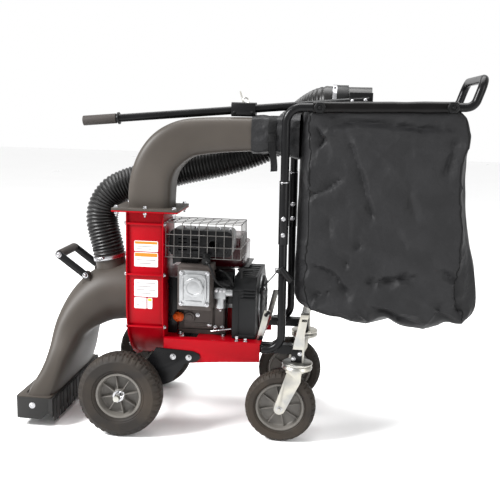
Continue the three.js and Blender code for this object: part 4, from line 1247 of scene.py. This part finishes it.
def add_cage():
    """The wire cage over the muffler, in thin drawn wire."""
    r = 1.3
    x0, x1, y0, y1, z0, z1 = 126, 354, -184, -62, 551, 656
    kit = Kit()

    def wire(a, b):
        kit.rod(at(*a), at(*b), r, 10)

    for i in range(10):
        x = x0 + (x1 - x0) * i / 9
        wire((x, y0, z0), (x, y0, z1))
        wire((x, y0, z1), (x, y1, z1))
    for z in (z0, 585, 620, z1):
        wire((x0, y0, z), (x1, y0, z))
        wire((x1, y0, z), (x1, y1, z))
    for y in (-154, -123, -92, y1):
        wire((x0, y, z1), (x1, y, z1))
        wire((x1, y, z0), (x1, y, z1))
    cage = kit.done("wire_cage", "dark_wire", 0)
    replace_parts(cage, "muffler_cage")


def add_valve_cover_details():
    rim = Kit()
    rim.ring(at(221, -234, 471), Y_AXIS, 21, 30, 1.4, 8)
    rim.box(196, 246, -230.5, -227, 424, 430)
    rim.box(186, 190, -230, -227, 430, 500)
    rim.box(251, 255, -230, -227, 430, 500)
    rim.done("valve_cover_relief", "cast_aluminium", 0.0012, 3)
    bolts = Kit()
    for x in (181.5, 259.5):
        for z in (417.5, 512.5):
            bolts.rod(at(x, -216, z), at(x, -219, z), 7, 20)
            bolts.bolt(at(x, -219, z), -Y_AXIS, 8, 4, washer=False)
    bolts.done("valve_cover_bolts", "steel", FINE_EDGE)


def add_plug_cap():
    kit = Kit()
    start, end = at(252, -188, 558), at(254, -214, 546)
    for i in range(9):
        a, b = start.lerp(end, i / 9), start.lerp(end, (i + 1) / 9)
        kit.rod(a, b, 12.5 if i % 2 == 0 else 10, 24)
    kit.rod(at(252, -206, 549), at(262, -214, 541), 6.5, 16)
    kit.done("plug_cap", "black_plastic", 0.0008, 3)


def add_engine_details():
    boss = Kit()
    boss.rod(at(190, -110, 352), at(190, -131, 352), 17, 28)
    boss.rod(at(190, -131, 352), at(190, -134, 352), 11, 28)
    for z in (322, 334, 384, 396):
        boss.box(206, 262, -127, -123, z - 2, z + 2)
    boss.box(268, 296, -118, -111, 316, 396)
    boss.box(154, 298, -120, -111, 399, 405)
    boss.done("crankcase_relief", "engine_metal", 0.0012, 3)
    bolts = Kit()
    for x, z in ((270, 322), (292, 322), (292, 388), (166, 388), (215, 360), (252, 330)):
        bolts.bolt(at(x, -124 if 200 < x < 262 else -118, z), -Y_AXIS, 8, 5)
    for x, y in ((276, -157), (300, -157), (288, -157)):
        bolts.bolt(at(x, y, 449), -Y_AXIS, 7, 4)
    bolts.rod(at(288, -140, 380), at(288, -140, 386.5), 4, 6)
    bolts.rod(at(258, -132, 312), at(324, -140, 326), 3.2, 14)
    bolts.done("engine_bolts", "steel", FINE_EDGE)
    dark = Kit()
    # The next two black plates, between the fan housing and the engine, stand for a mounting flange and also
    # paint the shade in that gap: partly painted shade.
    dark.box(123, 150, -128, -112, 300, 476)
    dark.box(123, 150, 100, 104, 300, 470)
    dark.box(268, 322, -112, -60, 458, 498)
    dark.box(300, 326, -118, -70, 400, 458)
    dark.box(266, 322, -150, -146, 462, 478)
    dark.done("engine_black_parts_and_painted_shade", "black_paint", 0.001)
    red = Kit().box(300, 325.5, -64, -58, 299, 372)
    red.done("engine_red_bracket", "red_paint", 0.001)
    breather = [at(268, -120, 500), at(284, -138, 508), at(304, -146, 500), at(322, -146, 478),
                at(327, -146, 462)]
    pipe("breather_hose", smooth_path(breather, 6), 0.0045, "black_plastic", 16)
    strap = Kit().box(160, 358, -24, 134, 494, 499)
    strap.done("tank_seat", "black_paint", 0.001)


def add_shroud_details():
    kit = Kit()
    kit.box(327, 346, -153, -150, 302, 448)
    kit.box(346, 396, -152, -150, 302, 312)
    for k in range(3):
        kit.box(350, 394, -153.4, -150, 424 + 10 * k, 426.6 + 10 * k)
    for z in range(6):
        kit.box(336, 390, -96 + 30 * z, -84 + 30 * z, 486, 488)
    kit.done("shroud_ribs", "shroud_plastic", 0.0008)
    edge = Kit().ring(at(401, 0, 385), X_AXIS, 85, 89, 3.4, 72)
    edge.done("starter_edge", "cast_aluminium", 0.0008)
    ribs = Kit()
    for a in turns(18):
        near = at(414.2, 34 * math.cos(a), 385 + 34 * math.sin(a))
        far = at(411, 74 * math.cos(a), 385 + 74 * math.sin(a))
        ribs.rod(near, far, 2.4, 8)
    ribs.ring(at(415, 0, 385), X_AXIS, 14, 18, 1.6, 40)
    ribs.done("starter_ribs", "shroud_plastic", 0.0004)
    corners = [at(412, 76 * math.cos(a), 385 + 76 * math.sin(a)) for a in turns(8)[1::2]]
    bolt_group("starter_bolts", X_AXIS, corners, 8, 4)


# ---------------------------------------------------------------- CAD nodes that stay

def dress_cad():
    """Puts each remaining CAD node in its finish, with softened edges."""
    plain = {
        "red_paint": ["chassis_deck", "fan_front_plate", "fan_rear_plate", "fan_wrapper"],
        "black_paint": ["axle_bracket_left", "axle_bracket_right", "rear_rail_left", "rear_rail_right",
                        "lift_handle_frame", "wand_bar", "bar_cradle", "muffler_guard"],
        "zinc": ["front_axle", "caster_mount_left", "caster_mount_right", "caster_fork_left",
                 "caster_fork_right", "cradle_clip", "impeller"],
        "skirt_rubber": ["nozzle_skirt"],
        "grip_rubber": ["lift_grip", "wand_grip"],
        "hose_plastic": ["wand_tube"],
        "black_plastic": ["hose_cuff", "fuel_cap", "throttle_lever", "recoil_grip"],
        "engine_metal": ["engine_block"],
        "cast_aluminium": ["valve_cover", "carburettor"],
        "tank_paint": ["fuel_tank"],
        "shroud_plastic": ["blower_shroud", "recoil_starter"],
        "orange_plastic": ["oil_cap"],
    }
    thin = {"cradle_clip": 0, "impeller": 0.0005, "lift_handle_frame": 0.0006,
            "nozzle_skirt": 0.001, "fuel_tank": 0.003, "muffler_guard": 0.002, "blower_shroud": 0.003}
    for finish, names in plain.items():
        for name in names:
            node = NODES[name]
            node.data.materials.clear()
            node.data.materials.append(SURFACES[finish])
            soften(node, thin.get(name, 0.0009), 2, weld=True)


SURFACES = make_surfaces()
SMOOTH = smooth_group()
add_camera()
add_hose()
add_cords()
add_studio()
dress_cad()
add_chute()
add_nozzle()
add_hose_port()
add_lift_lugs()
add_hose_clamp()
add_frame_tubes()
add_wheels()
add_bag()
add_flaps()
add_sleeve()
add_sleeve_strap()
add_housing_bolts()
add_stickers()
add_chassis_fittings()
add_skirt_fittings()
add_lift_handle_bolts()
add_caster_fittings()
add_boom_fittings()
add_muffler_details()
add_cage()
add_valve_cover_details()
add_plug_cap()
add_engine_details()
add_shroud_details()
